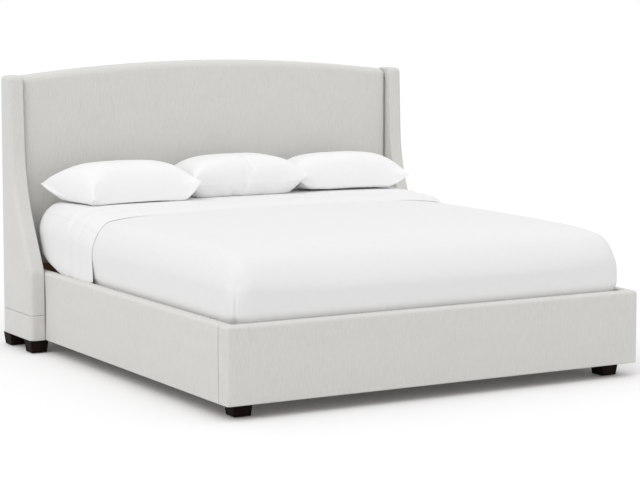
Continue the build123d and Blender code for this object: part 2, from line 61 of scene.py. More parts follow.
studio = {
    "floorSize": 60.0,
    "floorSeen": (0.9, 0.9, 0.9, 1),
    "floorBounce": (0.7, 0.7, 0.7, 1),
    "floorGlow": 0.05,
    "ambient": 0.92,
    # each lamp: strength, softness in degrees, and where it shines from
    "softboxes": {"key": (0.72, 40.0, (-0.58, -0.33, 0.745))},
}


def makeCamera(setup):
    data = bpy.data.cameras.new("camera")
    data.lens = setup["lens"]
    data.sensor_width = 36
    data.shift_y = setup["shift"]
    data.clip_end = 200
    camera = bpy.data.objects.new("camera", data)
    camera.location = setup["place"]
    camera.rotation_euler = (math.pi / 2 - setup["lookDown"], 0, -setup["turn"])
    scene.collection.objects.link(camera)
    scene.camera = camera


# Shader helpers: plug sets a socket to a number or links it
def plug(tree, value, socket):
    if isinstance(value, bpy.types.NodeSocket):
        tree.links.new(value, socket)
    else:
        socket.default_value = value


def calc(tree, operation, *values):
    made = tree.nodes.new("ShaderNodeMath")
    made.operation = operation
    for value, socket in zip(values, made.inputs):
        plug(tree, value, socket)
    return made.outputs[0]


def vectorCalc(tree, operation, *values):
    made = tree.nodes.new("ShaderNodeVectorMath")
    made.operation = operation
    for value, socket in zip(values, made.inputs):
        plug(tree, value, socket)
    return made.outputs["Value" if operation == "DOT_PRODUCT" else "Vector"]


# A start value plus each of the values times its weight
def weighted(tree, start, *terms):
    total = start
    for value, weight in terms:
        total = calc(tree, "MULTIPLY_ADD", value, weight, total)
    return total


def scaled(tree, vector, scale):
    made = tree.nodes.new("ShaderNodeVectorMath")
    made.operation = "SCALE"
    plug(tree, vector, made.inputs[0])
    plug(tree, scale, made.inputs["Scale"])
    return made.outputs["Vector"]


def noiseOn(tree, vector, scale, detail=2.0, roughness=0.5, distortion=0.0):
    made = tree.nodes.new("ShaderNodeTexNoise")
    plug(tree, vector, made.inputs["Vector"])
    plug(tree, scale, made.inputs["Scale"])
    made.inputs["Detail"].default_value = detail
    made.inputs["Roughness"].default_value = roughness
    made.inputs["Distortion"].default_value = distortion
    return made.outputs["Fac"]


def remap(tree, value, low, high, newLow=0.0, newHigh=1.0):
    made = tree.nodes.new("ShaderNodeMapRange")
    made.interpolation_type = "SMOOTHSTEP"
    for item, socket in zip((value, low, high, newLow, newHigh), made.inputs):
        plug(tree, item, socket)
    return made.outputs[0]


def mixColors(tree, factor, first, second):
    made = tree.nodes.new("ShaderNodeMix")
    made.data_type = "RGBA"
    plug(tree, factor, made.inputs[0])
    plug(tree, first, made.inputs[6])
    plug(tree, second, made.inputs[7])
    return made.outputs[2]


def newGroup(name, inputs, outputs):
    tree = bpy.data.node_groups.new(name, "ShaderNodeTree")
    for label, value in inputs.items():
        if isinstance(value, tuple):
            kind = "NodeSocketColor" if len(value) == 4 else "NodeSocketVector"
        else:
            kind = "NodeSocketFloat"
        socket = tree.interface.new_socket(name=label, in_out="INPUT", socket_type=kind)
        socket.default_value = value
    for label, kind in outputs.items():
        tree.interface.new_socket(name=label, in_out="OUTPUT", socket_type=kind)
    start = tree.nodes.new("NodeGroupInput")
    end = tree.nodes.new("NodeGroupOutput")
    coords = tree.nodes.new("ShaderNodeTexCoord").outputs["Object"]
    return tree, start.outputs, end.inputs, coords


surfaceOutputs = {"Color": "NodeSocketColor", "Roughness": "NodeSocketFloat",
                  "Height": "NodeSocketFloat"}


# Crossing threads, on whichever plane the cloth lies
def plainWeave(tree, coords, threads):
    waves = vectorCalc(tree, "SINE", scaled(tree, coords, calc(
        tree, "MULTIPLY", threads, math.tau)))
    parts = tree.nodes.new("ShaderNodeSeparateXYZ")
    plug(tree, waves, parts.inputs[0])
    x, y, z = parts.outputs
    crossing = calc(tree, "MULTIPLY", y, calc(tree, "ADD", x, z))
    return calc(tree, "MULTIPLY_ADD", x, z, crossing)


# A noise that is even around zero
def noiseAbout(tree, vector, scale, detail):
    return calc(tree, "SUBTRACT", noiseOn(tree, vector, scale, detail), 0.5)


# Linen-look upholstery: upright slubs, a few cross slubs and the plain weave under them
def makeSlubWeave():
    tree, given, out, coords = newGroup("slubWeave", {
        "Color": (0.6, 0.6, 0.6, 1), "Light Slubs": 0.1, "Dark Slubs": 0.1,
        "Threads": 700.0, "Mottle": 0.04}, surfaceOutputs)
    slubStretch = 0.09  # a slub is about 11 times as long as it is wide
    upright = vectorCalc(tree, "MULTIPLY", coords, (1.0, 1.0, slubStretch))
    level = vectorCalc(tree, "MULTIPLY", coords, (slubStretch, slubStretch, 1.0))
    elsewhere = vectorCalc(tree, "ADD", upright, (3.1, 1.7, 0.4))
    light = remap(tree, noiseOn(tree, upright, 330.0, 1.5), 0.54, 0.72)
    dark = remap(tree, noiseOn(tree, elsewhere, 260.0, 1.0), 0.55, 0.76)
    cross = remap(tree, noiseOn(tree, level, 340.0, 1.0), 0.62, 0.8)
    mottle = noiseAbout(tree, coords, 5.0, 3.0)
    threads = plainWeave(tree, coords, given["Threads"])
    darkened = calc(tree, "MULTIPLY", given["Dark Slubs"], -1.0)
    tone = weighted(tree, 1.0, (light, given["Light Slubs"]), (dark, darkened),
                    (cross, -0.04), (mottle, given["Mottle"]), (threads, 0.012))
    plug(tree, scaled(tree, given["Color"], tone), out["Color"])
    plug(tree, weighted(tree, 0.84, (dark, 0.1)), out["Roughness"])
    relief = weighted(tree, light, (cross, 0.6), (dark, -0.6), (threads, 0.35))
    plug(tree, relief, out["Height"])
    return tree


# Smooth bed linen: a fine weave with the faint crumples of washed cotton
def makeWashedCotton():
    tree, given, out, coords = newGroup("washedCotton", {
        "Color": (0.8, 0.8, 0.8, 1), "Crumple": 0.5, "Crumple Size": 22.0,
        "Threads": 1500.0, "Mottle": 0.03}, surfaceOutputs)
    crumple = noiseOn(tree, coords, given["Crumple Size"], 3.0, 0.45, 0.6)
    creases = calc(tree, "ABSOLUTE", calc(tree, "SUBTRACT", noiseOn(
        tree, coords, calc(tree, "MULTIPLY", given["Crumple Size"], 1.7), 2.0, 0.5, 0.8), 0.5))
    creaseLines = remap(tree, creases, 0.0, 0.06)
    threads = plainWeave(tree, coords, given["Threads"])
    mottle = noiseAbout(tree, coords, 4.0, 2.0)
    # painted shade: the colour is 1% darker along the crease lines, as if shade lay in the
    # creases
    tone = weighted(tree, 0.99, (mottle, given["Mottle"]), (creaseLines, 0.01))
    plug(tree, scaled(tree, given["Color"], tone), out["Color"])
    plug(tree, weighted(tree, 0.78, (crumple, 0.1)), out["Roughness"])
    soft = weighted(tree, crumple, (creaseLines, 0.12))
    height = calc(tree, "MULTIPLY", soft, given["Crumple"])
    plug(tree, weighted(tree, height, (threads, 0.02)), out["Height"])
    return tree


# Wood: growth rings drawn out along the grain, with pores and fine fibres
def makeWoodGrain():
    tree, given, out, coords = newGroup("woodGrain", {
        "Light": (0.6, 0.45, 0.3, 1), "Dark": (0.4, 0.27, 0.15, 1),
        "Grain": (1.0, 1.0, 0.08), "Ring Density": 22.0, "Contrast": 0.6}, surfaceOutputs)
    along = vectorCalc(tree, "MULTIPLY", coords, given["Grain"])
    wander = noiseOn(tree, along, 6.0, 2.0, 0.5, 0.4)
    rings = calc(tree, "SINE", calc(tree, "MULTIPLY", calc(
        tree, "ADD", wander, noiseOn(tree, along, 1.6, 1.0)), given["Ring Density"]))
    bands = remap(tree, rings, -0.9, 0.9)
    fibres = noiseOn(tree, along, 420.0, 2.0)
    pores = remap(tree, noiseOn(tree, along, 160.0, 1.0), 0.62, 0.72)
    # it starts below 0, so that the fibres darken and lighten alike
    shade = weighted(tree, -0.25, (bands, given["Contrast"]), (fibres, 0.5), (pores, 0.25))
    color = mixColors(tree, remap(tree, shade, 0.0, 1.0), given["Light"], given["Dark"])
    plug(tree, color, out["Color"])
    plug(tree, weighted(tree, 0.5, (fibres, 0.25)), out["Roughness"])
    plug(tree, weighted(tree, 0.0, (fibres, 0.5), (pores, -1.0)), out["Height"])
    return tree


# Where an edge has been rubbed: the bevelled normal leaves the flat one there
def makeEdgeWear():
    tree, given, out, coords = newGroup(
        "edgeWear", {"Width": 0.003, "Patchiness": 0.5}, {"Mask": "NodeSocketFloat"})
    bevel = tree.nodes.new("ShaderNodeBevel")
    bevel.samples = 4
    plug(tree, given["Width"], bevel.inputs["Radius"])
    flat = tree.nodes.new("ShaderNodeNewGeometry").outputs["Normal"]
    bend = calc(tree, "SUBTRACT", 1.0, vectorCalc(
        tree, "DOT_PRODUCT", bevel.outputs[0], flat))
    edge = remap(tree, bend, 0.02, 0.22)
    patches = remap(tree, noiseOn(tree, coords, 90.0, 3.0), 0.35, 0.65)
    whole = calc(tree, "SUBTRACT", 1.0, given["Patchiness"])
    rubbed = weighted(tree, whole, (patches, given["Patchiness"]))
    plug(tree, calc(tree, "MULTIPLY", edge, rubbed), out["Mask"])
    return tree


# Fine grain of moulded, brushed or woven stock: streaks along one direction
def makeStreaks():
    tree, given, out, coords = newGroup("streaks", {
        "Color": (0.5, 0.5, 0.5, 1), "Stretch": (1.0, 1.0, 1.0), "Density": 600.0,
        "Roughness": 0.4, "Contrast": 0.2}, surfaceOutputs)
    along = vectorCalc(tree, "MULTIPLY", coords, given["Stretch"])
    fine = noiseOn(tree, along, given["Density"], 2.0, 0.6)
    blotch = noiseAbout(tree, coords, 30.0, 3.0)
    streak = calc(tree, "SUBTRACT", fine, 0.5)
    tone = weighted(tree, 1.0, (streak, given["Contrast"]), (blotch, given["Contrast"]))
    plug(tree, scaled(tree, given["Color"], tone), out["Color"])
    plug(tree, weighted(tree, given["Roughness"], (streak, 0.3)), out["Roughness"])
    plug(tree, fine, out["Height"])
    return tree


print("stage: weave, wood, wear and streak groups")
slubWeave = makeSlubWeave()
washedCotton = makeWashedCotton()
woodGrain = makeWoodGrain()
edgeWear = makeEdgeWear()
streaks = makeStreaks()


def placeGroup(tree, group, values):
    made = tree.nodes.new("ShaderNodeGroup")
    made.node_tree = group
    for label, value in values.items():
        plug(tree, value, made.inputs[label])
    return made.outputs


viewportGrey = (0.6, 0.6, 0.6, 1)


# A material from one surface group, its bump, the shader's own values and rubbed edges
def surfaceMaterial(name, group, values, bump, shader, wear=None):
    material = bpy.data.materials.new(name)
    material.use_nodes = True
    tree = material.node_tree
    principled = tree.nodes["Principled BSDF"]
    for label, value in shader.items():
        principled.inputs[label].default_value = value
    surface = placeGroup(tree, group, values)
    color = surface["Color"]
    if wear:
        mask = placeGroup(tree, edgeWear, {"Width": wear["width"]})["Mask"]
        color = mixColors(tree, calc(tree, "MULTIPLY", mask, wear["amount"]), color,
                          wear["color"])
    plug(tree, color, principled.inputs["Base Color"])
    plug(tree, surface["Roughness"], principled.inputs["Roughness"])
    relief = tree.nodes.new("ShaderNodeBump")
    relief.inputs["Strength"].default_value = bump["strength"]
    relief.inputs["Distance"].default_value = bump["distance"]
    plug(tree, surface["Height"], relief.inputs["Height"])
    plug(tree, relief.outputs[0], principled.inputs["Normal"])
    material.diffuse_color = viewportGrey
    return material


clothShader = {"Sheen Weight": 0.25, "Sheen Roughness": 0.6, "Specular IOR Level": 0.25}
woodShader = {"Specular IOR Level": 0.4}

linen = surfaceMaterial("upholsteryLinen", slubWeave, {
    "Color": (0.676, 0.665, 0.64, 1), "Light Slubs": 0.06, "Dark Slubs": 0.07,
    "Threads": 620.0, "Mottle": 0.02}, {"strength": 0.4, "distance": 0.0005}, clothShader)
duvetCotton = surfaceMaterial("duvetCotton", washedCotton, {
    "Color": (0.797, 0.797, 0.795, 1), "Crumple": 0.5, "Crumple Size": 9.0, "Mottle": 0.01},
    {"strength": 0.06, "distance": 0.003}, clothShader)
# painted light: the fold is the duvet's own cloth folded back, but its colour is set lighter
# (0.82 against the duvet's 0.797)
foldCottonPaintedLighter = surfaceMaterial("foldCottonPaintedLighter", washedCotton, {
    "Color": (0.82, 0.82, 0.818, 1), "Crumple": 0.5, "Crumple Size": 9.0, "Mottle": 0.01},
    {"strength": 0.15, "distance": 0.003}, clothShader)
pillowCotton = surfaceMaterial("pillowCotton", washedCotton, {
    "Color": (0.87, 0.87, 0.868, 1), "Crumple": 0.6, "Crumple Size": 14.0},
    {"strength": 0.15, "distance": 0.002}, clothShader)
ticking = surfaceMaterial("mattressTicking", washedCotton, {
    "Color": (0.78, 0.775, 0.75, 1), "Crumple": 0.8, "Crumple Size": 40.0,
    "Threads": 900.0}, {"strength": 0.5, "distance": 0.002}, clothShader)
lining = surfaceMaterial("backLining", slubWeave, {
    "Color": (0.3, 0.295, 0.285, 1), "Light Slubs": 0.08, "Dark Slubs": 0.12,
    "Threads": 900.0, "Mottle": 0.08}, {"strength": 0.4, "distance": 0.0005}, clothShader)

pine = {"Light": (0.3, 0.2, 0.12, 1), "Dark": (0.19, 0.12, 0.065, 1), "Contrast": 0.5}
pineWear = {"width": 0.002, "amount": 0.5, "color": (0.4, 0.29, 0.19, 1)}
grainAlong = {"X": (0.07, 1.0, 1.0), "Y": (1.0, 0.07, 1.0), "Z": (1.0, 1.0, 0.07)}
timber = {axis: surfaceMaterial(
    "timberAlong" + axis, woodGrain, {**pine, "Grain": grain, "Ring Density": 26.0},
    {"strength": 0.35, "distance": 0.0006}, woodShader, pineWear)
    for axis, grain in grainAlong.items()}
birch = surfaceMaterial("birchSlats", woodGrain, {
    "Light": (0.7, 0.55, 0.36, 1), "Dark": (0.55, 0.39, 0.22, 1), "Contrast": 0.35,
    "Grain": grainAlong["X"], "Ring Density": 18.0}, {"strength": 0.25, "distance": 0.0005},
    woodShader, {"width": 0.002, "amount": 0.5, "color": (0.78, 0.64, 0.45, 1)})
plywood = surfaceMaterial("plywoodFacing", woodGrain, {
    "Light": (0.66, 0.51, 0.34, 1), "Dark": (0.5, 0.36, 0.21, 1), "Contrast": 0.45,
    "Grain": grainAlong["Z"], "Ring Density": 12.0}, {"strength": 0.3, "distance": 0.0005},
    woodShader, {"width": 0.0015, "amount": 0.4, "color": (0.45, 0.33, 0.2, 1)})
espresso = surfaceMaterial("espressoFeet", woodGrain, {
    "Light": (0.012, 0.0065, 0.005, 1), "Dark": (0.005, 0.0028, 0.002, 1),
    "Contrast": 0.6, "Grain": grainAlong["Z"], "Ring Density": 30.0},
    {"strength": 0.3, "distance": 0.0004}, {"Specular IOR Level": 0.08},
    {"width": 0.0025, "amount": 0.2, "color": (0.04, 0.024, 0.018, 1)})
zinc = surfaceMaterial("zincPlate", streaks, {
    "Color": (0.56, 0.57, 0.58, 1), "Stretch": (1.0, 1.0, 0.15), "Density": 700.0,
    "Roughness": 0.36, "Contrast": 0.25}, {"strength": 0.2, "distance": 0.0003},
    {"Metallic": 1.0}, {"width": 0.0012, "amount": 0.6, "color": (0.72, 0.72, 0.72, 1)})
nylon = surfaceMaterial("nylonGlides", streaks, {
    "Color": (0.04, 0.04, 0.042, 1), "Density": 1400.0, "Roughness": 0.5,
    "Contrast": 0.5}, {"strength": 0.4, "distance": 0.0002}, {"Specular IOR Level": 0.5})
webbing = surfaceMaterial("wovenStraps", slubWeave, {
    "Color": (0.13, 0.13, 0.13, 1), "Light Slubs": 0.3, "Dark Slubs": 0.3,
    "Threads": 480.0, "Mottle": 0.1}, {"strength": 0.9, "distance": 0.0008}, clothShader)


def dressNode(name, material):
    node = frame["nodes"][name]
    if not node.material_slots:
        node.data.materials.append(material)
    for slot in node.material_slots:
        slot.link = "OBJECT"
        slot.material = material


nodeFinishes = {
    "X": ["headboard_top_rail", "headboard_middle_rail", "headboard_bottom_rail",
          "foot_rail_board"],
    "Y": ["left_rail_board", "right_rail_board", "left_slat_ledger", "right_slat_ledger",
          "centre_beam"],
    "Z": ["headboard_left_stile", "headboard_right_stile", "left_wing_core",
          "right_wing_core", "left_corner_block", "right_corner_block", "centre_leg_1",
          "centre_leg_2", "centre_leg_3"],
}
for axis, names in nodeFinishes.items():
    for name in names:
        dressNode(name, timber[axis])
slotFinishes = {"back_lining": lining, "plywood": plywood, "slat_timber": birch,
                "dark_foot_wood": espresso, "steel": zinc, "glide_plastic": nylon,
                "webbing": webbing}
for part in frame["record"]["subparts"]:
    if part["material_slot"] in slotFinishes:
        dressNode(part["node"], slotFinishes[part["material_slot"]])
print("stage: frame nodes finished")


# 1 where the camera sees something directly, in a mirror or through glass
def seenDirectly(tree):
    rays = tree.nodes.new("ShaderNodeLightPath").outputs
    return calc(tree, "MAXIMUM", rays["Is Camera Ray"], calc(
        tree, "MAXIMUM", rays["Is Glossy Ray"], rays["Is Transmission Ray"]))


def makeStudio(setup):
    half = setup["floorSize"] / 2
    mesh = bpy.data.meshes.new("floor")
    mesh.from_pydata([(-half, -half, 0), (half, -half, 0), (half, half, 0),
                      (-half, half, 0)], [], [(0, 1, 2, 3)])
    floor = bpy.data.objects.new("floor", mesh)
    scene.collection.objects.link(floor)
    material = bpy.data.materials.new("paleFloor")
    material.use_nodes = True
    tree = material.node_tree
    principled = tree.nodes["Principled BSDF"]
    principled.inputs["Roughness"].default_value = 0.9
    principled.inputs["Specular IOR Level"].default_value = 0.0
    principled.inputs["Emission Color"].default_value = (1, 1, 1, 1)
    seen = seenDirectly(tree)
    plug(tree, mixColors(tree, seen, setup["floorBounce"], setup["floorSeen"]),
         principled.inputs["Base Color"])
    plug(tree, calc(tree, "MULTIPLY", seen, setup["floorGlow"]),
         principled.inputs["Emission Strength"])
    mesh.materials.append(material)

    world = bpy.data.worlds.new("studio")
    world.use_nodes = True
    scene.world = world
    tree = world.node_tree
    background = tree.nodes["Background"]
    background.inputs["Color"].default_value = (1, 1, 1, 1)
    plug(tree, remap(tree, seenDirectly(tree), 0.0, 1.0, setup["ambient"], 1.0),
         background.inputs["Strength"])

    for name, (strength, softness, shinesFrom) in setup["softboxes"].items():
        light = bpy.data.lights.new(name + "Softbox", "SUN")
        light.energy = strength
        light.angle = math.radians(softness)
        lamp = bpy.data.objects.new(name + "Softbox", light)
        lamp.rotation_mode = "QUATERNION"
        lamp.rotation_quaternion = Vector(shinesFrom).to_track_quat("Z", "Y")
        scene.collection.objects.link(lamp)
    scene.view_settings.view_transform = "Standard"


makeCamera(cameraSetup)
makeStudio(studio)
print("stage: camera, floor and light")


# Places from low to high about a step apart, with finer ones along both ends
def spread(low, high, step, fine=0.0, fineCount=5):
    ends = np.linspace(0, fine, fineCount + 1)[:-1] if fine else np.zeros(0)
    count = max(1, round((high - low - 2 * fine) / step))
    middle = np.linspace(low + fine, high - fine, count + 1)
    return np.concatenate([low + ends, middle, high - ends[::-1]])


# Quads on the named sides of a box, sharing points where the sides meet
def boxGrid(xs, ys, zs, sides):
    lines = (xs, ys, zs)
    last = [len(line) - 1 for line in lines]
    places = {"left": (0, 0), "right": (0, last[0]), "foot": (1, 0), "head": (1, last[1]),
              "bottom": (2, 0), "top": (2, last[2])}
    index = {}
    points = []
    faces = []

    def pointAt(key):
        if key not in index:
            index[key] = len(points)
            points.append([lines[axis][key[axis]] for axis in range(3)])
        return index[key]

    for side in sides:
        axis, place = places[side]
        across = [a for a in range(3) if a != axis]
        for i in range(last[across[0]]):
            for j in range(last[across[1]]):
                corners = []
                for stepI, stepJ in ((0, 0), (1, 0), (1, 1), (0, 1)):
                    key = [0, 0, 0]
                    key[axis] = place
                    key[across[0]] = i + stepI
                    key[across[1]] = j + stepJ
                    corners.append(pointAt(tuple(key)))
                faces.append(corners)
    return np.array(points, float), faces


# Rolls the named edges of a box over with an elliptical section. A square above 2 keeps
# the upright edges squarer than a circle
def rolled(points, low, high, radii, sides, square=2.0):
    radii = np.array(radii, float)
    innerLow = np.array(low, float)
    innerHigh = np.array(high, float)
    for axis, (lowSide, highSide) in enumerate((("left", "right"), ("foot", "head"),
                                                ("bottom", "top"))):
        if lowSide in sides:
            innerLow[axis] += radii[axis]
        if highSide in sides:
            innerHigh[axis] -= radii[axis]
    core = np.clip(points, innerLow, innerHigh)
    away = (points - core) / radii
    plan = (np.abs(away[:, 0]) ** square + np.abs(away[:, 1]) ** square) ** (1 / square)
    length = np.sqrt(plan ** 2 + away[:, 2] ** 2)[:, None]
    length[length < 1e-9] = 1
    return core + away / length * radii


# Draws the upright corners in: a point that lies near one moves onto an arc of its radius
def tuckCorners(points, low, high, radius, ends):
    moved = points.copy()
    for end in ends:
        edge = high.y if end == "head" else low.y
        facing = 1 if end == "head" else -1
        for side in (-1, 1):
            a = high.x - side * points[:, 0]
            b = (edge - points[:, 1]) * facing
            depth = np.minimum(a, b)
            reach = np.maximum(radius - depth, 1e-6)
            near = (a < radius) & (b < radius) & (depth < radius)
            angle = np.pi / 4 * (1 - np.clip((np.maximum(a, b) - depth) / reach, 0, 1))
            small = reach * (1 - np.cos(angle)) + depth
            large = reach * (1 - np.sin(angle)) + depth
            newA = np.where(a <= b, small, large)
            newB = np.where(a <= b, large, small)
            moved[near, 0] = (side * (high.x - newA))[near]
            moved[near, 1] = (edge - facing * newB)[near]
    return moved


# Moves points from one box to the same places in another
def fitted(points, low, high, newLow, newHigh):
    share = (points - np.array(low)) / (np.array(high) - np.array(low))
    return newLow + share * (newHigh - newLow)


# A closed wall between an outer and an inner surface that have the same faces. The hem
# places the points that round its rim
def shell(outer, inner, faces, hem=None):
    count = len(outer)
    edges = set()
    for face in faces:
        edges.update(zip(face, face[1:] + face[:1]))
    rim = [(a, b) for a, b in edges if (b, a) not in edges]
    rim.sort()
    points = [*outer, *inner]
    walls = [list(face) for face in faces]
    walls += [[count + i for i in reversed(face)] for face in faces]
    if hem is None:
        walls += [[b, a, count + a, count + b] for a, b in rim]
    else:
        middle = {}
        for a, b in rim:
            for i in (a, b):
                if i not in middle:
                    middle[i] = len(points)
                    points.append(hem((outer[i] + inner[i]) / 2, outer[i] - inner[i]))
        for a, b in rim:
            walls.append([b, a, middle[a], middle[b]])
            walls.append([middle[b], middle[a], count + a, count + b])
    return np.array(points), walls


def evaluated(piece):
    depsgraph = bpy.context.evaluated_depsgraph_get()
    mesh = bpy.data.meshes.new_from_object(piece.evaluated_get(depsgraph))
    old = piece.data
    piece.modifiers.clear()
    piece.data = mesh
    bpy.data.meshes.remove(old)


# Makes a mesh object with its normals outward, and rounds it by subdivision
def makeMesh(name, points, faces, levels=0):
    mesh = bpy.data.meshes.new(name)
    mesh.from_pydata([tuple(map(float, point)) for point in points], [], faces)
    sculpt = bmesh.new()
    sculpt.from_mesh(mesh)
    bmesh.ops.remove_doubles(sculpt, verts=sculpt.verts, dist=1e-6)
    bmesh.ops.recalc_face_normals(sculpt, faces=sculpt.faces)
    sculpt.to_mesh(mesh)
    sculpt.free()
    piece = bpy.data.objects.new(name, mesh)
    scene.collection.objects.link(piece)
    return rounded(piece, levels)


def rounded(piece, levels):
    if levels:
        rounding = piece.modifiers.new("rounding", "SUBSURF")
        rounding.levels = rounding.render_levels = levels
        evaluated(piece)
    piece.data.shade_smooth()
    return piece


def finishPiece(piece, material, body, nodes):
    piece.data.materials.clear()
    piece.data.materials.append(material)
    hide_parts(*nodes)
    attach(piece, body)
    print("piece:", piece.name, len(piece.data.vertices), "points")
    return piece


def smooth(value, low, high):
    share = np.clip((value - low) / (high - low), 0, 1)
    return share * share * (3 - 2 * share)


def unevenness(points, size, amount, seed):
    shift = Vector((seed * 7.3, seed * 3.1, seed * 5.7))
    return np.array([noise.noise(Vector(point) / size + shift) for point in points]) * amount


# Headboard padding: one crowned pad with rolled top and ends under an arched top line

headboard = {
    "step": 0.024,
    "depthStep": 0.012,
    "roll": 0.034,
    "endReach": 0.002,  # how near an end the cover's points give the arch's height there
    "foamBack": 0.0406,
    "fabric": 0.0022,
    "crown": 0.004,
    "crownPowers": (6, 8),  # how flat the crown is across and upwards
    "slack": (0.22, 0.0008),  # size of the soft waves and their depth
}


def makeHeadboard(look):
    low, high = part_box("headboard_cover")
    ends = frame["nodes"]["headboard_cover"].data.vertices
    endTop = max(v.co.z for v in ends if abs(v.co.x) > high.x - look["endReach"])
    rise = high.z - endTop
    radius = (high.x ** 2 + rise ** 2) / (2 * rise)
    roll = look["roll"]
    xs = spread(low.x, high.x, look["step"], roll)
    ys = spread(low.y, high.y, look["depthStep"], roll, 4)
    zs = spread(low.z, high.z, look["step"], roll)
    sides = ["foot", "left", "right", "top"]
    boxPoints, faces = boxGrid(xs, ys, zs, sides)
    outer = rolled(boxPoints, low, high, (roll,) * 3, sides)
    inner = boxPoints.copy()
    inner[:, 0] = np.clip(inner[:, 0], low.x + look["fabric"], high.x - look["fabric"])
    inner[:, 1] = np.clip(inner[:, 1], low.y + look["foamBack"], high.y)
    inner[:, 2] = np.clip(inner[:, 2], low.z, high.z - look["fabric"])
    for surface in (outer, inner):
        archTop = high.z - radius + np.sqrt(radius ** 2 - surface[:, 0] ** 2)
        surface[:, 2] = low.z + (surface[:, 2] - low.z) * (archTop - low.z) / (high.z - low.z)
    powerAcross, powerUp = look["crownPowers"]
    width = 1 - (np.abs(outer[:, 0]) / high.x) ** powerAcross
    height = 1 - (np.abs(outer[:, 2] - low.z) / (high.z - low.z)) ** powerUp
    front = outer[:, 1] < low.y + roll
    outer[:, 1] -= np.where(front, look["crown"] * width * height, 0)
    outer[:, 1] -= np.where(front, unevenness(outer, *look["slack"], 1), 0)
    points, walls = shell(outer, inner, faces)
    return makeMesh("headboardPad", points, walls, 1)


finishPiece(makeHeadboard(headboard), linen, "bed_frame",
            ["headboard_cover", "headboard_foam"])


# Wings: upright padded slabs whose front edge kicks out at the knee

wing = {
    "back": 1.125,
    "baseFront": 0.768,
    "knee": 0.392,
    "kneeRadius": 0.045,
    "sweepLow": (0.886, 0.604),
    "sweepHigh": (0.996, 1.000),
    "topFront": (1.009, 1.322),
    "topCorner": 0.024,
    "outerEdge": 0.02,
    "innerEdge": 0.005,
    "innerCorner": 0.0004,
    "padding": 0.0098,
    "bulge": 0.003,
    "bulgeFade": (0.07, 0.08),  # from the upright edges, and from the top
    "slack": (0.12, 0.0006),
    "lip": 0.0012,
    "lipStart": 0.3,  # share of the lip where its first ring lies
    "step": 0.016,
    "along": 22,
}


# Depth of the wing's front edge at each height, from the floor to the top
def wingFrontLine(look):
    line = [(look["baseFront"], 0.0)]
    start = np.array((look["baseFront"], look["knee"]))
    end = np.array(look["sweepLow"])
    direction = (end - start) / np.linalg.norm(end - start)
    tilt = math.atan2(direction[0], direction[1])
    reach = look["kneeRadius"] * math.tan(tilt / 2)
    for share in np.linspace(0, 1, 9):
        before = start - np.array((0, reach)) * (1 - share)
        after = start + direction * reach * share
        line.append(tuple(before * (1 - share) + after * share))
    chord = np.array(look["sweepHigh"]) - end
    turn = 2 * (tilt - math.atan2(chord[0], chord[1]))
    length = np.linalg.norm(chord) / math.sin(turn / 2) * turn / 2
    point = end.copy()
    count = 40
    for index in range(count):
        line.append(tuple(point))
        angle = tilt - turn * (index + 0.5) / count
        point = point + np.array((math.sin(angle), math.cos(angle))) * length / count
    line.append(tuple(look["sweepHigh"]))
    line.append(tuple(look["topFront"]))
    line = np.array(sorted(line, key=lambda place: place[1]))
    return lambda height: np.interp(height, line[:, 1], line[:, 0])


# Half of a rounded rectangle, from the middle of the front to the middle of the back
def halfRing(halfWidth, front, back, edge, along):
    edge = min(edge, halfWidth, (back - front) / 2)
    half = [(0, front), ((halfWidth - edge) * 0.5, front)]
    for angle in np.linspace(0, math.pi / 2, 6):
        half.append((halfWidth - edge + edge * math.sin(angle),
                     front + edge - edge * math.cos(angle)))
    for share in np.linspace(0, 1, along)[1:-1]:
        half.append((halfWidth, front + edge + (back - front - 2 * edge) * share))
    for angle in np.linspace(0, math.pi / 2, 6):
        half.append((halfWidth - edge + edge * math.cos(angle),
                     back - edge + edge * math.sin(angle)))
    half += [((halfWidth - edge) * 0.5, back), (0, back)]
    return half


def fullRing(half, otherHalf, height):
    ring = [(x, y, height) for x, y in half]
    ring += [(-x, y, height) for x, y in otherHalf[-2:0:-1]]
    return ring


# How far a rolled edge has drawn in at a distance from the end of the piece
def rollInset(distance, radius):
    if distance >= radius:
        return 0.0
    return radius - math.sqrt(radius ** 2 - (radius - max(distance, 0)) ** 2)


def ringWall(rings, offset, capTop):
    size = len(rings[0])
    faces = []
    for level in range(len(rings) - 1):
        start = offset + level * size
        for k in range(size):
            after = (k + 1) % size
            faces.append([start + k, start + after, start + size + after, start + size + k])
    if capTop:
        start = offset + (len(rings) - 1) * size
        for k in range(size // 2):
            corners = [start + k, start + k + 1, start + (size - k - 1) % size,
                       start + (size - k) % size]
            faces.append(list(dict.fromkeys(corners)))
    return faces


def wingHeights(low, high, look, closedTop):
    lip = look["lip"]
    lipStart = lip * look["lipStart"]
    heights = [low, low + lipStart, low + lip]
    top = high - (look["topCorner"] if closedTop else lip)
    count = max(2, round((top - low - lip) / look["step"]))
    heights += list(np.linspace(low + lip, top, count + 1)[1:])
    if closedTop:
        heights += [top + look["topCorner"] * math.sin(angle)
                    for angle in np.linspace(0, math.pi / 2, 8)[1:]]
    else:
        heights += [high - lipStart, high]
    return heights


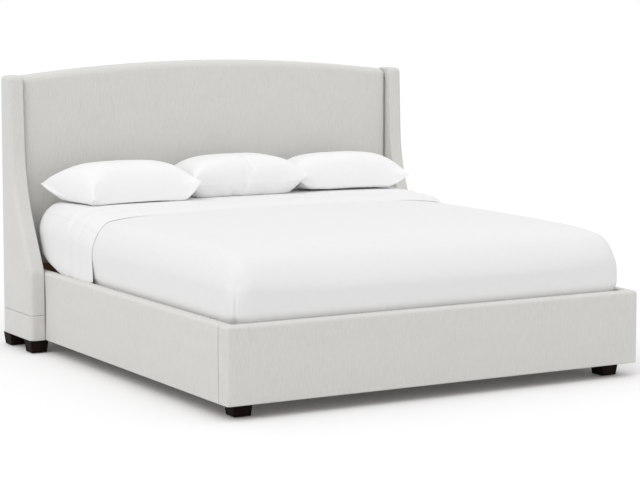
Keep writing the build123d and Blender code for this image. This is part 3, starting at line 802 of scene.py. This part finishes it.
def makeWing(look, side, name, node, closedTop):
    low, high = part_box(node)
    frontLine = wingFrontLine(look)
    thickness = (high.x - low.x) / 2
    middle = (high.x + low.x) / 2
    corner = look["topCorner"]
    back = look["back"]
    padding = look["padding"]
    nudge = 0.002
    outerRings = []
    innerRings = []
    for height in wingHeights(low.z, high.z, look, closedTop):
        front = float(frontLine(height))
        fromTop = high.z - height if closedTop else math.inf
        nearSeam = height - low.z if closedTop else min(height - low.z, high.z - height)
        lip = rollInset(nearSeam, look["lip"])
        ends = max(rollInset(fromTop, corner), lip)
        halves = [halfRing(thickness - max(rollInset(fromTop, edge), lip), front + ends,
                           back - ends, edge, look["along"])
                  for edge in (look["outerEdge"], look["innerEdge"])]
        outerRings.append(fullRing(*halves, height))
        slope = float(frontLine(height + nudge) - frontLine(height - nudge)) / (2 * nudge)
        wall = padding * math.sqrt(1 + slope ** 2)
        innerHeight = min(height, high.z - padding) if closedTop else height
        roundedOff = 0.0
        if closedTop:
            roundedOff = rollInset(high.z - padding - innerHeight, corner - padding)
        innerHalf = halfRing(thickness - padding, front + wall + roundedOff,
                             back - padding - roundedOff, look["innerCorner"], look["along"])
        # the cavity stops level with the core's top
        if not innerRings or innerHeight > innerRings[-1][0][2] + 1e-6:
            innerRings.append(fullRing(innerHalf, innerHalf, innerHeight))
    outer = [point for ring in outerRings for point in ring]
    inner = [point for ring in innerRings for point in ring]
    faces = ringWall(outerRings, 0, closedTop)
    faces += [face[::-1] for face in ringWall(innerRings, len(outer), closedTop)]
    size = len(outerRings[0])
    offset = len(outer)
    for k in range(size):
        after = (k + 1) % size
        faces.append([after, k, offset + k, offset + after])
    if not closedTop:
        outerTop = len(outer) - size
        innerTop = offset + len(inner) - size
        for k in range(size):
            after = (k + 1) % size
            faces.append([outerTop + k, outerTop + after, innerTop + after, innerTop + k])
    points = np.array(outer + inner)
    outerMask = np.arange(len(points)) < len(outer)
    outside = outerMask & (points[:, 0] > thickness - 1e-4)
    # the outer face is crowned, and the whole skin is a little uneven
    fadeUpright, fadeTop = look["bulgeFade"]
    fromFront = points[:, 1] - frontLine(points[:, 2])
    inFace = smooth(fromFront, 0.0, fadeUpright) * smooth(back - points[:, 1], 0.0, fadeUpright)
    inFace *= smooth(look["topFront"][1] - points[:, 2], 0.0, fadeTop)
    points[outside, 0] += look["bulge"] * inFace[outside]
    points[outside, 0] += unevenness(points[outside], *look["slack"], 2 + side)
    points[:, 0] = middle + side * points[:, 0]
    return makeMesh(name, points, faces, 1)


for sideName, side in (("left", -1), ("right", 1)):
    for part, closedTop in (("upper", True), ("lower", False)):
        node = f"{sideName}_wing_{part}_cover"
        piece = makeWing(wing, side, f"{sideName}Wing{part.capitalize()}", node, closedTop)
        finishPiece(piece, linen, "bed_frame", [node])


# Rails: a padded skin over a board, open underneath, with a softly rolled top

rail = {
    "roll": 0.014,
    "insideRoll": 0.006,
    "padding": 0.0059,
    "crown": 0.0012,
    "bulge": 0.0015,
    # the bulge fades out along a side towards the wing, and along the foot to its ends
    "sideFade": (0.55, 0.74),
    "footFade": (0.85, 1.0),
    "footSlack": 0.0004,
    "slack": (0.16, 0.0005),
    "wingGap": 0.0045,
    "wingCrease": 0.012,  # how far before the wing the rail starts to give way to it
    "wingRows": (-0.014, -0.009, -0.004, 0.001),
    "underTurn": 0.004,
    "seamRoll": 0.003,
    "seamShares": (0, 0.12, 0.4, 0.75),
    "seamGap": 0.0013,
    "step": 0.024,
    "cornerRadius": 0.014,
    # keep the points of the inner corner apart
    "innerEnd": 0.98,
    "cornerNudge": (0.0006, 0.00018),
}


# The section across a rail: distance out from its inner face, and height
def railSection(look, thickness, low, high):
    roll = look["roll"]
    inside = look["insideRoll"]
    outer = []
    for height in np.linspace(low, high - inside, 12):
        outer.append((0.0, height))
    for angle in np.linspace(0, math.pi / 2, 7)[1:]:
        outer.append((inside - inside * math.cos(angle),
                      high - inside + inside * math.sin(angle)))
    flat = thickness - roll - inside
    for share in (0.25, 0.5, 0.75, 1.0):
        outer.append((inside + flat * share, high))
    for angle in np.linspace(math.pi / 2, 0, 7)[1:]:
        outer.append((thickness - roll + roll * math.cos(angle),
                      high - roll + roll * math.sin(angle)))
    turn = look["underTurn"]
    for height in np.linspace(high - roll, low + turn, 15)[1:]:
        outer.append((thickness, height))
    for angle in np.linspace(0, math.pi / 2, 4)[1:]:
        outer.append((thickness - turn + turn * math.cos(angle),
                      low + turn - turn * math.sin(angle)))
    outer = np.array(outer)
    wall = look["padding"]
    inner = np.stack([np.clip(outer[:, 0], wall, thickness - wall),
                      np.clip(outer[:, 1], low, high - wall)], axis=1)
    # points that fall on the board's corners are set a hair apart
    hair = 1e-5
    for column in range(len(inner)):
        inner[column, 0] += hair * column / len(inner)
        inner[column, 1] -= hair * abs(column - len(inner) / 2) / len(inner)
    return outer, inner


# Sweeps that section: each station gives the rail's inner and outer line in plan
def sweepRail(look, section, stations, thickness, low, high, slackOut):
    outerSection, innerSection = section
    size = len(outerSection)
    hair = 1e-5
    outer = []
    inner = []
    for innerLine, outerLine, shrink in stations:
        innerLine, outerLine = np.array(innerLine), np.array(outerLine)
        away = (outerLine - innerLine) / thickness
        for (a, z), (b, y) in zip(outerSection, innerSection):
            across = shrink + (thickness - 2 * shrink) * a / thickness
            lift = look["crown"] * math.sin(math.pi * a / thickness) * (z > high - 0.001)
            level = z - (shrink if z > high - look["roll"] else 0) + lift
            outer.append((*(innerLine + away * across), level))
            inner.append((*(innerLine + away * b), y))
    faces = []
    for station in range(len(stations) - 1):
        for k in range(size - 1):
            start = station * size + k
            faces.append([start, start + 1, start + size + 1, start + size])
    outer, inner = np.array(outer), np.array(inner)
    outFace = np.tile(outerSection[:, 0] > thickness - hair, len(stations))
    middle = np.sin(np.pi * np.clip((outer[:, 2] - low) / (high - low), 0, 1))
    push = slackOut(outer) * middle + unevenness(outer, *look["slack"], 5)
    for station, (innerLine, outerLine, _) in enumerate(stations):
        away = (np.array(outerLine) - np.array(innerLine))
        away = away / np.linalg.norm(away)
        rows = slice(station * size, (station + 1) * size)
        outer[rows, :2] += np.outer(push[rows] * outFace[rows], away)
    return shell(outer, inner, faces)


def makeSideRail(look, name, node, side):
    low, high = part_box(node)
    thickness = high.x - low.x
    innerX = low.x if side > 0 else high.x
    outerX = high.x if side > 0 else low.x
    roll = look["seamRoll"]
    start = low.y + look["seamGap"]
    front = wing["baseFront"]
    places = [start + roll * share for share in look["seamShares"]]
    count = round((high.y - start) / look["step"])
    places += list(np.linspace(start + roll, high.y, count))
    places += [front + offset for offset in look["wingRows"]]
    stations = [((innerX, y), (outerX, y), rollInset(y - start, roll))
                for y in sorted(places)]
    section = railSection(look, thickness, low.z, high.z)

    def slackOut(points):
        behindWing = smooth(points[:, 1], front - look["wingCrease"], front)
        return (look["bulge"] * (1 - smooth(points[:, 1], *look["sideFade"]))
                - look["wingGap"] * behindWing)

    points, walls = sweepRail(look, section, stations, thickness, low.z, high.z, slackOut)
    return makeMesh(name, points, walls, 1)


# The foot rail's cover turns both corners
def makeFootRail(look, name, node):
    low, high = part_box(node)
    sideLow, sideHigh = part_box("right_rail_cover")
    thickness = sideHigh.x - sideLow.x
    roll = look["seamRoll"]
    corner = look["cornerRadius"]
    half = []
    end = high.y - look["seamGap"]
    straight = end - (low.y + corner)
    innerStraight = end - (low.y + thickness)
    fractions = [roll * share / straight for share in (*look["seamShares"], 1)]
    fractions += list(np.linspace(roll / straight, 1, 6)[1:])
    for fraction in fractions:
        inner = (sideLow.x, end - innerStraight * fraction * look["innerEnd"])
        outer = (high.x, end - straight * fraction)
        half.append((inner, outer, rollInset(straight * fraction, roll)))
    nudgeX, nudgeY = look["cornerNudge"]
    for angle in np.linspace(0, math.pi / 2, 7)[1:]:
        outer = (high.x - corner + corner * math.cos(angle),
                 low.y + corner - corner * math.sin(angle))
        turned = angle / (math.pi / 4)
        inner = (sideLow.x - nudgeX * turned, low.y + thickness + nudgeY * (2 - turned))
        half.append((inner, outer, 0.0))
    count = round((high.x - corner) / look["step"])
    innerFrom = half[-1][0][0]
    for share in np.linspace(0, 1, count)[1:]:
        half.append(((innerFrom * (1 - share), low.y + thickness),
                     ((high.x - corner) * (1 - share), low.y), 0.0))
    mirrored = [((-inner[0], inner[1]), (-outer[0], outer[1]), shrink)
                for inner, outer, shrink in half[-2::-1]]
    section = railSection(look, thickness, low.z, high.z)

    def slackOut(points):
        fade = 1 - smooth(np.abs(points[:, 0]), *look["footFade"])
        return look["bulge"] * fade + look["footSlack"]

    points, walls = sweepRail(look, section, half + mirrored, thickness, low.z, high.z,
                              slackOut)
    return makeMesh(name, points, walls, 1)


for sideName, side in (("left", -1), ("right", 1)):
    node = f"{sideName}_rail_cover"
    finishPiece(makeSideRail(rail, f"{sideName}RailCover", node, side), linen,
                "bed_frame", [node])
finishPiece(makeFootRail(rail, "footRailCover", "foot_rail_cover"), linen,
            "bed_frame", ["foot_rail_cover"])


# Mattress: a firm block with quilted panels and rolled edges, under the duvet

mattress = {
    "step": 0.03,
    "inset": Vector((0.001, 0.001, 0.0)),
    "edge": (0.075, 0.075, 0.05),
    "quilt": 0.12,
    "quiltDepth": 0.003,
    # shares of the height where the quilting and the crown start
    "quiltFrom": 0.85,
    "crownFrom": 0.2,
    "crownSpare": 0.002,
}

# All the bedding is crowned across and along, drawn in at its head corners by a radius
# for each height, drawn in at its sides and foot just above the rails, and slopes down
# to its foot
bedCrown = {"across": 0.051, "along": 0.014}
# how the crown falls across: a round share, and a share that falls only near the sides
crownShape = {"round": 0.3, "shoulder": 0.7, "shoulderPower": 8}
crownFade = {"above": 0.05, "below": 0.02}
headTuck = ((0.4, 0.427, 0.466, 0.6), (0.388, 0.263, 0.17, 0.09))
drawIn = {"depth": 0.012, "from": 0.38, "to": 0.425, "power": 1.5, "footReach": (0.1, 0.6)}
footSlope = {"from": 0.4, "middle": 0.34, "reach": 0.3, "power": 4}


def crownDrop(points, low, high, across, along):
    x = np.minimum(np.abs(points[:, 0]) / high.x, 1)
    y = np.abs(points[:, 1] - (low.y + high.y) / 2) / ((high.y - low.y) / 2)
    shoulder = crownShape["shoulder"] * x ** crownShape["shoulderPower"]
    return across * (crownShape["round"] * x ** 2 + shoulder) + along * np.minimum(y, 1) ** 2


# Crowns a layer, from a little above its bottom to whole a little below its top
def crowned(points, low, high, bottom, top):
    whole = smooth(points[:, 2], bottom + crownFade["above"], top - crownFade["below"])
    points[:, 2] -= crownDrop(points, low, high, **bedCrown) * whole


def drawnIn(points, low, high, share=1.0):
    low, high = Vector(low), Vector(high)
    above = np.maximum(points[:, 2] - footSlope["from"], 0)
    near = np.clip(1 - (points[:, 1] - low.y) / footSlope["reach"], 0, 1) ** 2
    middle = 1 - np.minimum(np.abs(points[:, 0]) / high.x, 1) ** footSlope["power"]
    points[:, 2] -= above * near * footSlope["middle"] * middle
    lowDown = 1 - smooth(points[:, 2], drawIn["from"], drawIn["to"])
    amount = drawIn["depth"] * lowDown ** drawIn["power"] * share
    points[:, 0] *= 1 - amount / high.x
    points[:, 1] += amount * (1 - smooth(points[:, 1] - low.y, *drawIn["footReach"]))
    radius = np.interp(points[:, 2], *headTuck)
    return tuckCorners(points, low, high, radius, ["head"])


def makeMattress(look):
    low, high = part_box("mattress")
    low, high = low + look["inset"], high - look["inset"]
    lines = [spread(low[axis], high[axis], look["step"], look["edge"][2], 4)
             for axis in range(3)]
    sides = ["left", "right", "foot", "head", "bottom", "top"]
    boxPoints, faces = boxGrid(*lines, sides)
    points = rolled(boxPoints, low, high, look["edge"], sides)
    height = (points[:, 2] - low.z) / (high.z - low.z)
    points[:, 2] -= smooth(height, look["crownFrom"], 1.0) * crownDrop(
        points, low, high, bedCrown["across"] + look["crownSpare"], bedCrown["along"])
    quilt = np.abs(np.sin(np.pi * (points[:, 0] + points[:, 1]) / look["quilt"])
                   * np.sin(np.pi * (points[:, 0] - points[:, 1]) / look["quilt"]))
    quilted = smooth(height, look["quiltFrom"], 1.0)
    points[:, 2] -= look["quiltDepth"] * (1 - quilt ** 0.5) * quilted
    return makeMesh("mattressQuilted", drawnIn(points, low, high), faces, 1)


finishPiece(makeMattress(mattress), ticking, "bedding", ["mattress"])


# Duvet: a deep soft layer that fills the well and rolls over at its edges

duvet = {
    "step": 0.03,
    "fineCounts": (14, 14, 12),
    "edge": (0.095, 0.095, 0.15),
    "squareness": 3.2,
    "squareFade": (0.22, 0.08),  # below the top, where its square corners turn round
    "cavityGap": 0.0004,
    "cavityEdge": (0.071, 0.071, 0.071),
    # the ridge lies 3 widths beside the groove and is 1.6 times as wide
    "pleat": {"depth": 0.007, "width": 0.007, "ridge": 0.003, "ridgePlace": 3,
              "ridgeWidth": 1.6, "top": 0.56, "fade": 0.1, "footFade": (0.05, 0.1)},
    "undercut": {"depth": 0.014, "width": 0.05, "top": 0.5},
}


def makeDuvet(look):
    low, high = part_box("duvet")
    insideLow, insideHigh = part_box("mattress")
    lines = [spread(low[axis], high[axis], look["step"], look["edge"][axis],
                    look["fineCounts"][axis]) for axis in range(3)]
    sides = ["left", "right", "foot", "head", "top"]
    boxPoints, faces = boxGrid(*lines, sides)
    squareTo, roundFrom = look["squareFade"]
    square = look["squareness"] + (2 - look["squareness"]) * smooth(
        boxPoints[:, 2], high.z - squareTo, high.z - roundFrom)
    outer = rolled(boxPoints, low, high, look["edge"], sides, square)
    gap = look["cavityGap"]
    innerLow = np.array((insideLow.x - gap, insideLow.y - gap, low.z))
    innerHigh = np.array((insideHigh.x + gap, insideHigh.y + gap, insideHigh.z + gap))
    inner = fitted(boxPoints, low, high, innerLow, innerHigh)
    inner = rolled(inner, innerLow, innerHigh, look["cavityEdge"], sides)
    crowned(outer, low, high, low.z, high.z)
    crowned(inner, insideLow, insideHigh, low.z, high.z)
    # an upright pleat on each corner of the foot, where the spare cloth is tucked
    pleat = look["pleat"]
    offCorner = (high.x - np.abs(outer[:, 0])) - (outer[:, 1] - low.y)
    nearFoot = 1 - smooth(outer[:, 1] - low.y, *pleat["footFade"])
    amount = nearFoot * (1 - smooth(outer[:, 2], pleat["top"] - pleat["fade"], pleat["top"]))
    groove = pleat["depth"] * np.exp(-(offCorner / pleat["width"]) ** 2)
    beside = (offCorner / pleat["width"] - pleat["ridgePlace"]) / pleat["ridgeWidth"]
    diagonal = 0.7
    amount *= diagonal * (groove - pleat["ridge"] * np.exp(-beside ** 2))
    outer[:, 0] -= np.sign(outer[:, 0]) * amount
    outer[:, 1] += amount
    # the sides give way under the edge of the fold
    undercut = look["undercut"]
    fromFold = (outer[:, 1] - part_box("duvet_fold")[0].y) / undercut["width"]
    amount = (1 - smooth(outer[:, 2], low.z, undercut["top"])) ** 0.5 * np.exp(-fromFold ** 2)
    outer[:, 0] -= undercut["depth"] * amount * np.sign(outer[:, 0]) * (
        np.abs(outer[:, 0]) > insideHigh.x)
    points, walls = shell(drawnIn(outer, low, high), drawnIn(inner, innerLow, innerHigh), faces)
    return makeMesh("duvetBody", points, walls, 1)


finishPiece(makeDuvet(duvet), duvetCotton, "bedding", ["duvet"])


# The head end of the duvet folded back over itself and down both sides

fold = {
    "step": 0.02,
    "leastStep": 0.003,
    "fineCounts": (8, 9),  # across and lengthways, and upwards
    "edge": (0.11, 0.11, 0.15),
    "innerEdge": (0.096, 0.096, 0.151),
    "cavityGap": 0.0004,
    "topThickness": 0.0155,
    "sideThickness": 0.0125,
    # the layer's share of its thickness at the edge: over the middle and down the sides
    "edgeShare": (0.04, 0.14),
    "edgeTaper": 0.07,
    # soft lines beside the edge: distance from it, depth, width. Each has a ridge on its
    # far side: its share of the depth, and its place in widths
    "lines": ((0.12, 0.006, 0.014), (0.235, 0.006, 0.016)),
    "lineRows": (-1, -0.5, 0, 0.5, 1, 1.6, 2.2),
    "ridge": (0.7, 1.6),
    # the lines show from the first place out to the second, and from the second height
    # below the top down to the first
    "lineFade": (0.55, 0.9),
    "lineFadeDown": (0.2, 0.1),
    # heights below the top between which a line turns from the side to the top
    "lineTurn": (0.05, 0.01),
    "sewnDown": 0.0014,
    "sewnWidth": 0.02,
    # at its edge, and at the head under the pillows, and the run between the two
    "crown": (0.036, 0.011),
    "crownRun": (0.08, 0.4),
    # the low end of each side swings forward
    "kick": {"depth": 0.009, "height": 0.16, "width": 0.12},
    "drawInRun": (0.06, 0.3),
    "hem": 0.4,
    "hemReach": 0.02,
    # how much wider and longer than its solid the soft layer spreads
    "spread": Vector((0.01, 0.01, 0.0)),
}


def makeFold(look):
    low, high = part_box("duvet_fold")
    bodyLow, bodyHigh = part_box("duvet")
    foot = low.y
    high = high + look["spread"]
    low = Vector((-high.x, foot, low.z))
    reach, _, reachUp = look["edge"]
    count, countUp = look["fineCounts"]
    xs = spread(low.x, high.x, look["step"], reach, count)
    lineRows = [foot + place + offset * width for place, _, width in look["lines"]
                for offset in look["lineRows"]]
    ys = np.unique(np.concatenate([spread(foot, high.y, look["step"]), lineRows,
                                   np.linspace(high.y - reach, high.y, count)]))
    ys = ys[np.concatenate([[True], np.diff(ys) > look["leastStep"]])]
    zs = np.unique(np.concatenate([spread(low.z, high.z, look["step"]),
                                   np.linspace(high.z - reachUp, high.z, countUp)]))
    sides = ["left", "right", "head", "top"]
    boxPoints, faces = boxGrid(xs, ys, zs, sides)
    outer = rolled(boxPoints, low, high, look["edge"], sides)
    gap = look["cavityGap"]
    innerLow = np.array((bodyLow.x - gap, foot, low.z))
    innerHigh = np.array((bodyHigh.x + gap, high.y - look["sideThickness"],
                          high.z - look["topThickness"]))
    inner = fitted(boxPoints, low, high, innerLow, innerHigh)
    inner = rolled(inner, innerLow, innerHigh, look["innerEdge"], sides)
    crowned(inner, bodyLow, bodyHigh, bodyLow.z, bodyHigh.z)
    height = smooth(outer[:, 2], low.z + crownFade["above"], high.z)
    crown, crownAtHead = look["crown"]
    crown += (crownAtHead - crown) * smooth(outer[:, 1] - foot, *look["crownRun"])
    outer[:, 2] -= crownDrop(outer, low, high, crown, 0.0) * height
    # the layer thins out to its edge, and is sewn down there over the middle
    fade = smooth(np.abs(outer[:, 0]), *look["lineFade"])
    fadeFrom, fadeTo = look["lineFadeDown"]
    fade = np.maximum(fade, 1 - smooth(outer[:, 2], high.z - fadeFrom, high.z - fadeTo))
    thinnest, thickest = look["edgeShare"]
    least = thinnest + (thickest - thinnest) * fade
    share = least + (1 - least) * smooth(outer[:, 1] - foot, 0, look["edgeTaper"])
    outer = inner + (outer - inner) * share[:, None]
    fromEdge = outer[:, 1] - foot
    sewn = look["sewnDown"] * (1 - fade) * (1 - smooth(fromEdge, 0, look["sewnWidth"]))
    outer[:, 2] -= sewn
    inner[:, 2] -= sewn
    ridgeShare, ridgePlace = look["ridge"]
    turnFrom, turnTo = look["lineTurn"]
    for place, depth, width in look["lines"]:
        offset = (fromEdge - place) / width
        groove = np.exp(-offset ** 2) - ridgeShare * np.exp(-(offset - ridgePlace) ** 2)
        groove *= depth * fade
        top = smooth(outer[:, 2], high.z - turnFrom, high.z - turnTo)
        outer[:, 2] -= groove * top
        outer[:, 0] -= np.sign(outer[:, 0]) * groove * (1 - top)
    kick = look["kick"]
    # the sides are drawn in towards the head, not at the edge
    for surface, surfaceHigh in ((outer, high), (inner, innerHigh)):
        lowDown = 1 - smooth(surface[:, 2], low.z, low.z + kick["height"])
        atEdge = 1 - smooth(surface[:, 1], foot, foot + kick["width"])
        surface[:, 1] -= kick["depth"] * lowDown ** 2 * atEdge
        share = smooth(surface[:, 1] - foot, *look["drawInRun"])
        surface[:] = drawnIn(surface, bodyLow, surfaceHigh, share)

    def hem(middle, across):
        atFoot = middle[1] < foot + look["hemReach"]
        forward = np.array((0, -1, 0) if atFoot else (0, 0, -1))
        return middle + forward * np.linalg.norm(across) * look["hem"]

    points, walls = shell(outer, inner, faces, hem)
    return makeMesh("duvetFoldBack", points, walls, 1)


# the fold's material is the duvet's cotton painted lighter: painted light
finishPiece(makeFold(fold), foldCottonPaintedLighter, "bedding", ["duvet_fold"])


# Pillows: a top and a bottom panel sewn together between four corners, filled, and laid
# on the fold

pillow = {
    "counts": (77, 55),
    "pull": (0.015, 0.03),
    "depth": 0.12,
    "settle": 0.004,
    "slack": (0.1, 0.003),
    # small gathers at the corners: depth, waves across and along, and reach from the seam
    "pucker": {"depth": 0.002, "waves": (210, 190), "reach": (0.03, 0.3)},
    "creaseBow": 0.02,
    "creaseEnds": 0.3,
    "sag": {"across": 6, "along": 3},
    "relax": 14,
    "swell": {"pressure": 4.0, "frames": 20, "cap": 0.014, "spare": 0.035},
}

# Corners from the front left round to the back left. Bulk is how full the top is across
# and along: a power and a root each, and under is the roots of the underside. Clear is how
# far the middle of the front seam stays above the bed. A crease is a place across, the
# stretch of depth that it takes, its depth and its width
pillows = {
    "left": {
        "corners": ((-0.868, 0.59, 0.742), (-0.285, 0.565, 0.812), (-0.33, 0.975, 0.8),
                    (-0.992, 0.965, 0.8)),
        "top": 0.924,
        "bulk": (3.4, 0.36, 2.2, 0.46),
        "clear": 0.014,
        "under": (0.4, 0.6),
        "creases": ((-0.955, -0.6, 0.75, 0.007, 0.012), (-0.8, -0.75, 0.45, 0.01, 0.025))},
    "middle": {
        "corners": ((-0.311, 0.63, 0.785), (0.315, 0.61, 0.81), (0.275, 0.975, 0.8),
                    (-0.3, 0.975, 0.8)),
        "top": 0.904,
        "bulk": (3.4, 0.36, 3.6, 0.4),
        "clear": 0.06,
        "under": (0.4, 1.5),
        "creases": ((0.62, -0.5, 0.5, 0.004, 0.05), (0.95, -0.7, 0.4, 0.004, 0.015))},
    "right": {
        "corners": ((0.282, 0.66, 0.795), (0.94, 0.61, 0.79), (0.9, 0.975, 0.8),
                    (0.29, 0.975, 0.8)),
        "top": 0.919,
        "bulk": (3.2, 0.36, 2.2, 0.46),
        "clear": 0.02,
        "under": (0.5, 1.0),
        "creases": ((-0.93, -0.9, 0.2, 0.004, 0.015), (-0.8, -0.6, 0.3, 0.0025, 0.03))},
}


# Places from -1 to 1 that lie evenly along the curve of the top
def evenSteps(power, root, half, height, count):
    dense = np.sin(np.linspace(-1, 1, 2001) * np.pi / 2)
    curve = np.stack([dense * half, height * np.maximum(1 - np.abs(dense) ** power, 0) ** root])
    length = np.concatenate([[0], np.cumsum(np.linalg.norm(np.diff(curve), axis=0))])
    return np.interp(np.linspace(0, length[-1], count), length, dense)


# Evens the points of a grid out among their neighbours, inside its border
def relax(grid, times):
    for _ in range(times):
        around = grid[:-2, 1:-1] + grid[2:, 1:-1] + grid[1:-1, :-2] + grid[1:-1, 2:]
        grid[1:-1, 1:-1] = grid[1:-1, 1:-1] / 2 + around / 8


def pointsOf(mesh):
    flat = np.zeros(len(mesh.vertices) * 3)
    mesh.vertices.foreach_get("co", flat)
    return flat.reshape(-1, 3)


# Swells a closed cushion with cloth under pressure, and limits how far its points move
def swollen(piece, look):
    start = pointsOf(piece.data)
    cloth = piece.modifiers.new("filling", "CLOTH")
    cloth.settings.use_pressure = True
    cloth.settings.uniform_pressure_force = look["pressure"]
    cloth.settings.shrink_min = -look["spare"]
    cloth.settings.effector_weights.gravity = 0
    for number in range(1, look["frames"] + 1):
        scene.frame_set(number)
    shape = piece.evaluated_get(bpy.context.evaluated_depsgraph_get())
    move = pointsOf(shape.data) - start
    piece.modifiers.clear()
    scene.frame_set(1)
    length = np.maximum(np.linalg.norm(move, axis=1, keepdims=True), 1e-9)
    print("swelling:", piece.name, "moved", round(float(length.mean()), 4),
          round(float(length.max()), 4))
    move *= look["cap"] * np.tanh(length / look["cap"]) / length
    piece.data.vertices.foreach_set("co", (start + move).ravel())


def makePillow(look, shape, name, node, seed):
    low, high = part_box(node)
    powerU, fullU, powerV, fullV = shape["bulk"]
    height = (high.z - low.z) / 2
    us = evenSteps(powerU, fullU, (high.x - low.x) / 2, height, look["counts"][0])
    vs = evenSteps(powerV, fullV, (high.y - low.y) / 2, height, look["counts"][1])
    boxPoints, faces = boxGrid(us, vs, np.array((-1.0, 1.0)), ["bottom", "top"])
    u, v, w = boxPoints.T
    frontLeft, frontRight, backRight, backLeft = np.array(shape["corners"])
    across = (u[:, None] + 1) / 2
    along = (v[:, None] + 1) / 2
    points = ((frontLeft * (1 - across) + frontRight * across) * (1 - along)
              + (backLeft * (1 - across) + backRight * across) * along)
    points[:, 0] -= look["pull"][0] * np.sign(u) * np.abs(u) ** 3 * (1 - v ** 2)
    points[:, 1] -= look["pull"][1] * np.sign(v) * np.abs(v) ** 3 * (1 - u ** 4)
    bulkU = np.maximum(1 - np.abs(u) ** powerU, 0)
    bulkV = np.maximum(1 - np.abs(v) ** powerV, 0)
    rise = bulkU ** fullU * bulkV ** fullV
    sink = bulkU ** shape["under"][0] * bulkV ** shape["under"][1]
    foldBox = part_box("duvet_fold")

    def bedHeight(places):
        return low.z - crownDrop(places, *foldBox, fold["crown"][1], 0)

    bed = bedHeight(points)
    sag = look["sag"]
    front = ((1 - v) / 2) ** sag["along"] * (1 - np.abs(u) ** sag["across"])
    points[:, 2] -= np.maximum(points[:, 2] - bed - shape["clear"], 0) * front
    seam = points[:, 2].copy()
    settle = look["settle"]
    resting = bed + settle * np.logaddexp(0, (seam - sink * look["depth"] - bed) / settle)
    upper = seam + rise * (shape["top"] - seam)
    points[:, 2] = np.where(w > 0, upper, np.minimum(resting, seam))
    # the seam gathers the cloth: small puckers run in from it, most at the corners
    pucker = look["pucker"]
    waveX, waveY = pucker["waves"]
    near, far = pucker["reach"]
    edge = np.minimum(1 - np.abs(u), 1 - np.abs(v))
    corner = np.abs(u * v) ** 3
    waves = np.sin(points[:, 0] * waveX + seed) + np.sin(points[:, 1] * waveY + 2 * seed)
    besideSeam = smooth(edge, 0, near) * (1 - smooth(edge, near, far))
    puckers = pucker["depth"] * waves * corner * besideSeam
    slack = unevenness(points, *look["slack"], seed) * rise
    points[:, 2] += np.where(w > 0, puckers + slack, 0)
    ends = look["creaseEnds"]
    for place, start, end, depth, width in shape["creases"]:
        bow = place + look["creaseBow"] * np.sin((v - start) / (end - start) * np.pi)
        line = np.exp(-((u - bow) / width) ** 2)
        stretch = smooth(v, start, start + ends) * (1 - smooth(v, end - ends, end))
        points[:, 2] -= depth * line * stretch * (w > 0) * rise
    # the top panel's points are evened out, row by row
    panel = np.flatnonzero(w > 0)
    panel = panel[np.lexsort((v[panel], u[panel]))]
    grid = points[panel].reshape(*look["counts"], 3)
    relax(grid, look["relax"])
    points[panel] = grid.reshape(-1, 3)
    piece = makeMesh(name, points, faces)
    swollen(piece, look["swell"])
    flattened = pointsOf(piece.data)
    flattened[:, 2] = np.maximum(flattened[:, 2], bedHeight(flattened))
    piece.data.vertices.foreach_set("co", flattened.ravel())
    return rounded(piece, 1)


for index, (pillowName, shape) in enumerate(pillows.items()):
    node = f"{pillowName}_pillow"
    piece = makePillow(pillow, shape, f"{pillowName}Pillow", node, 11 + index)
    finishPiece(piece, pillowCotton, node, [node])
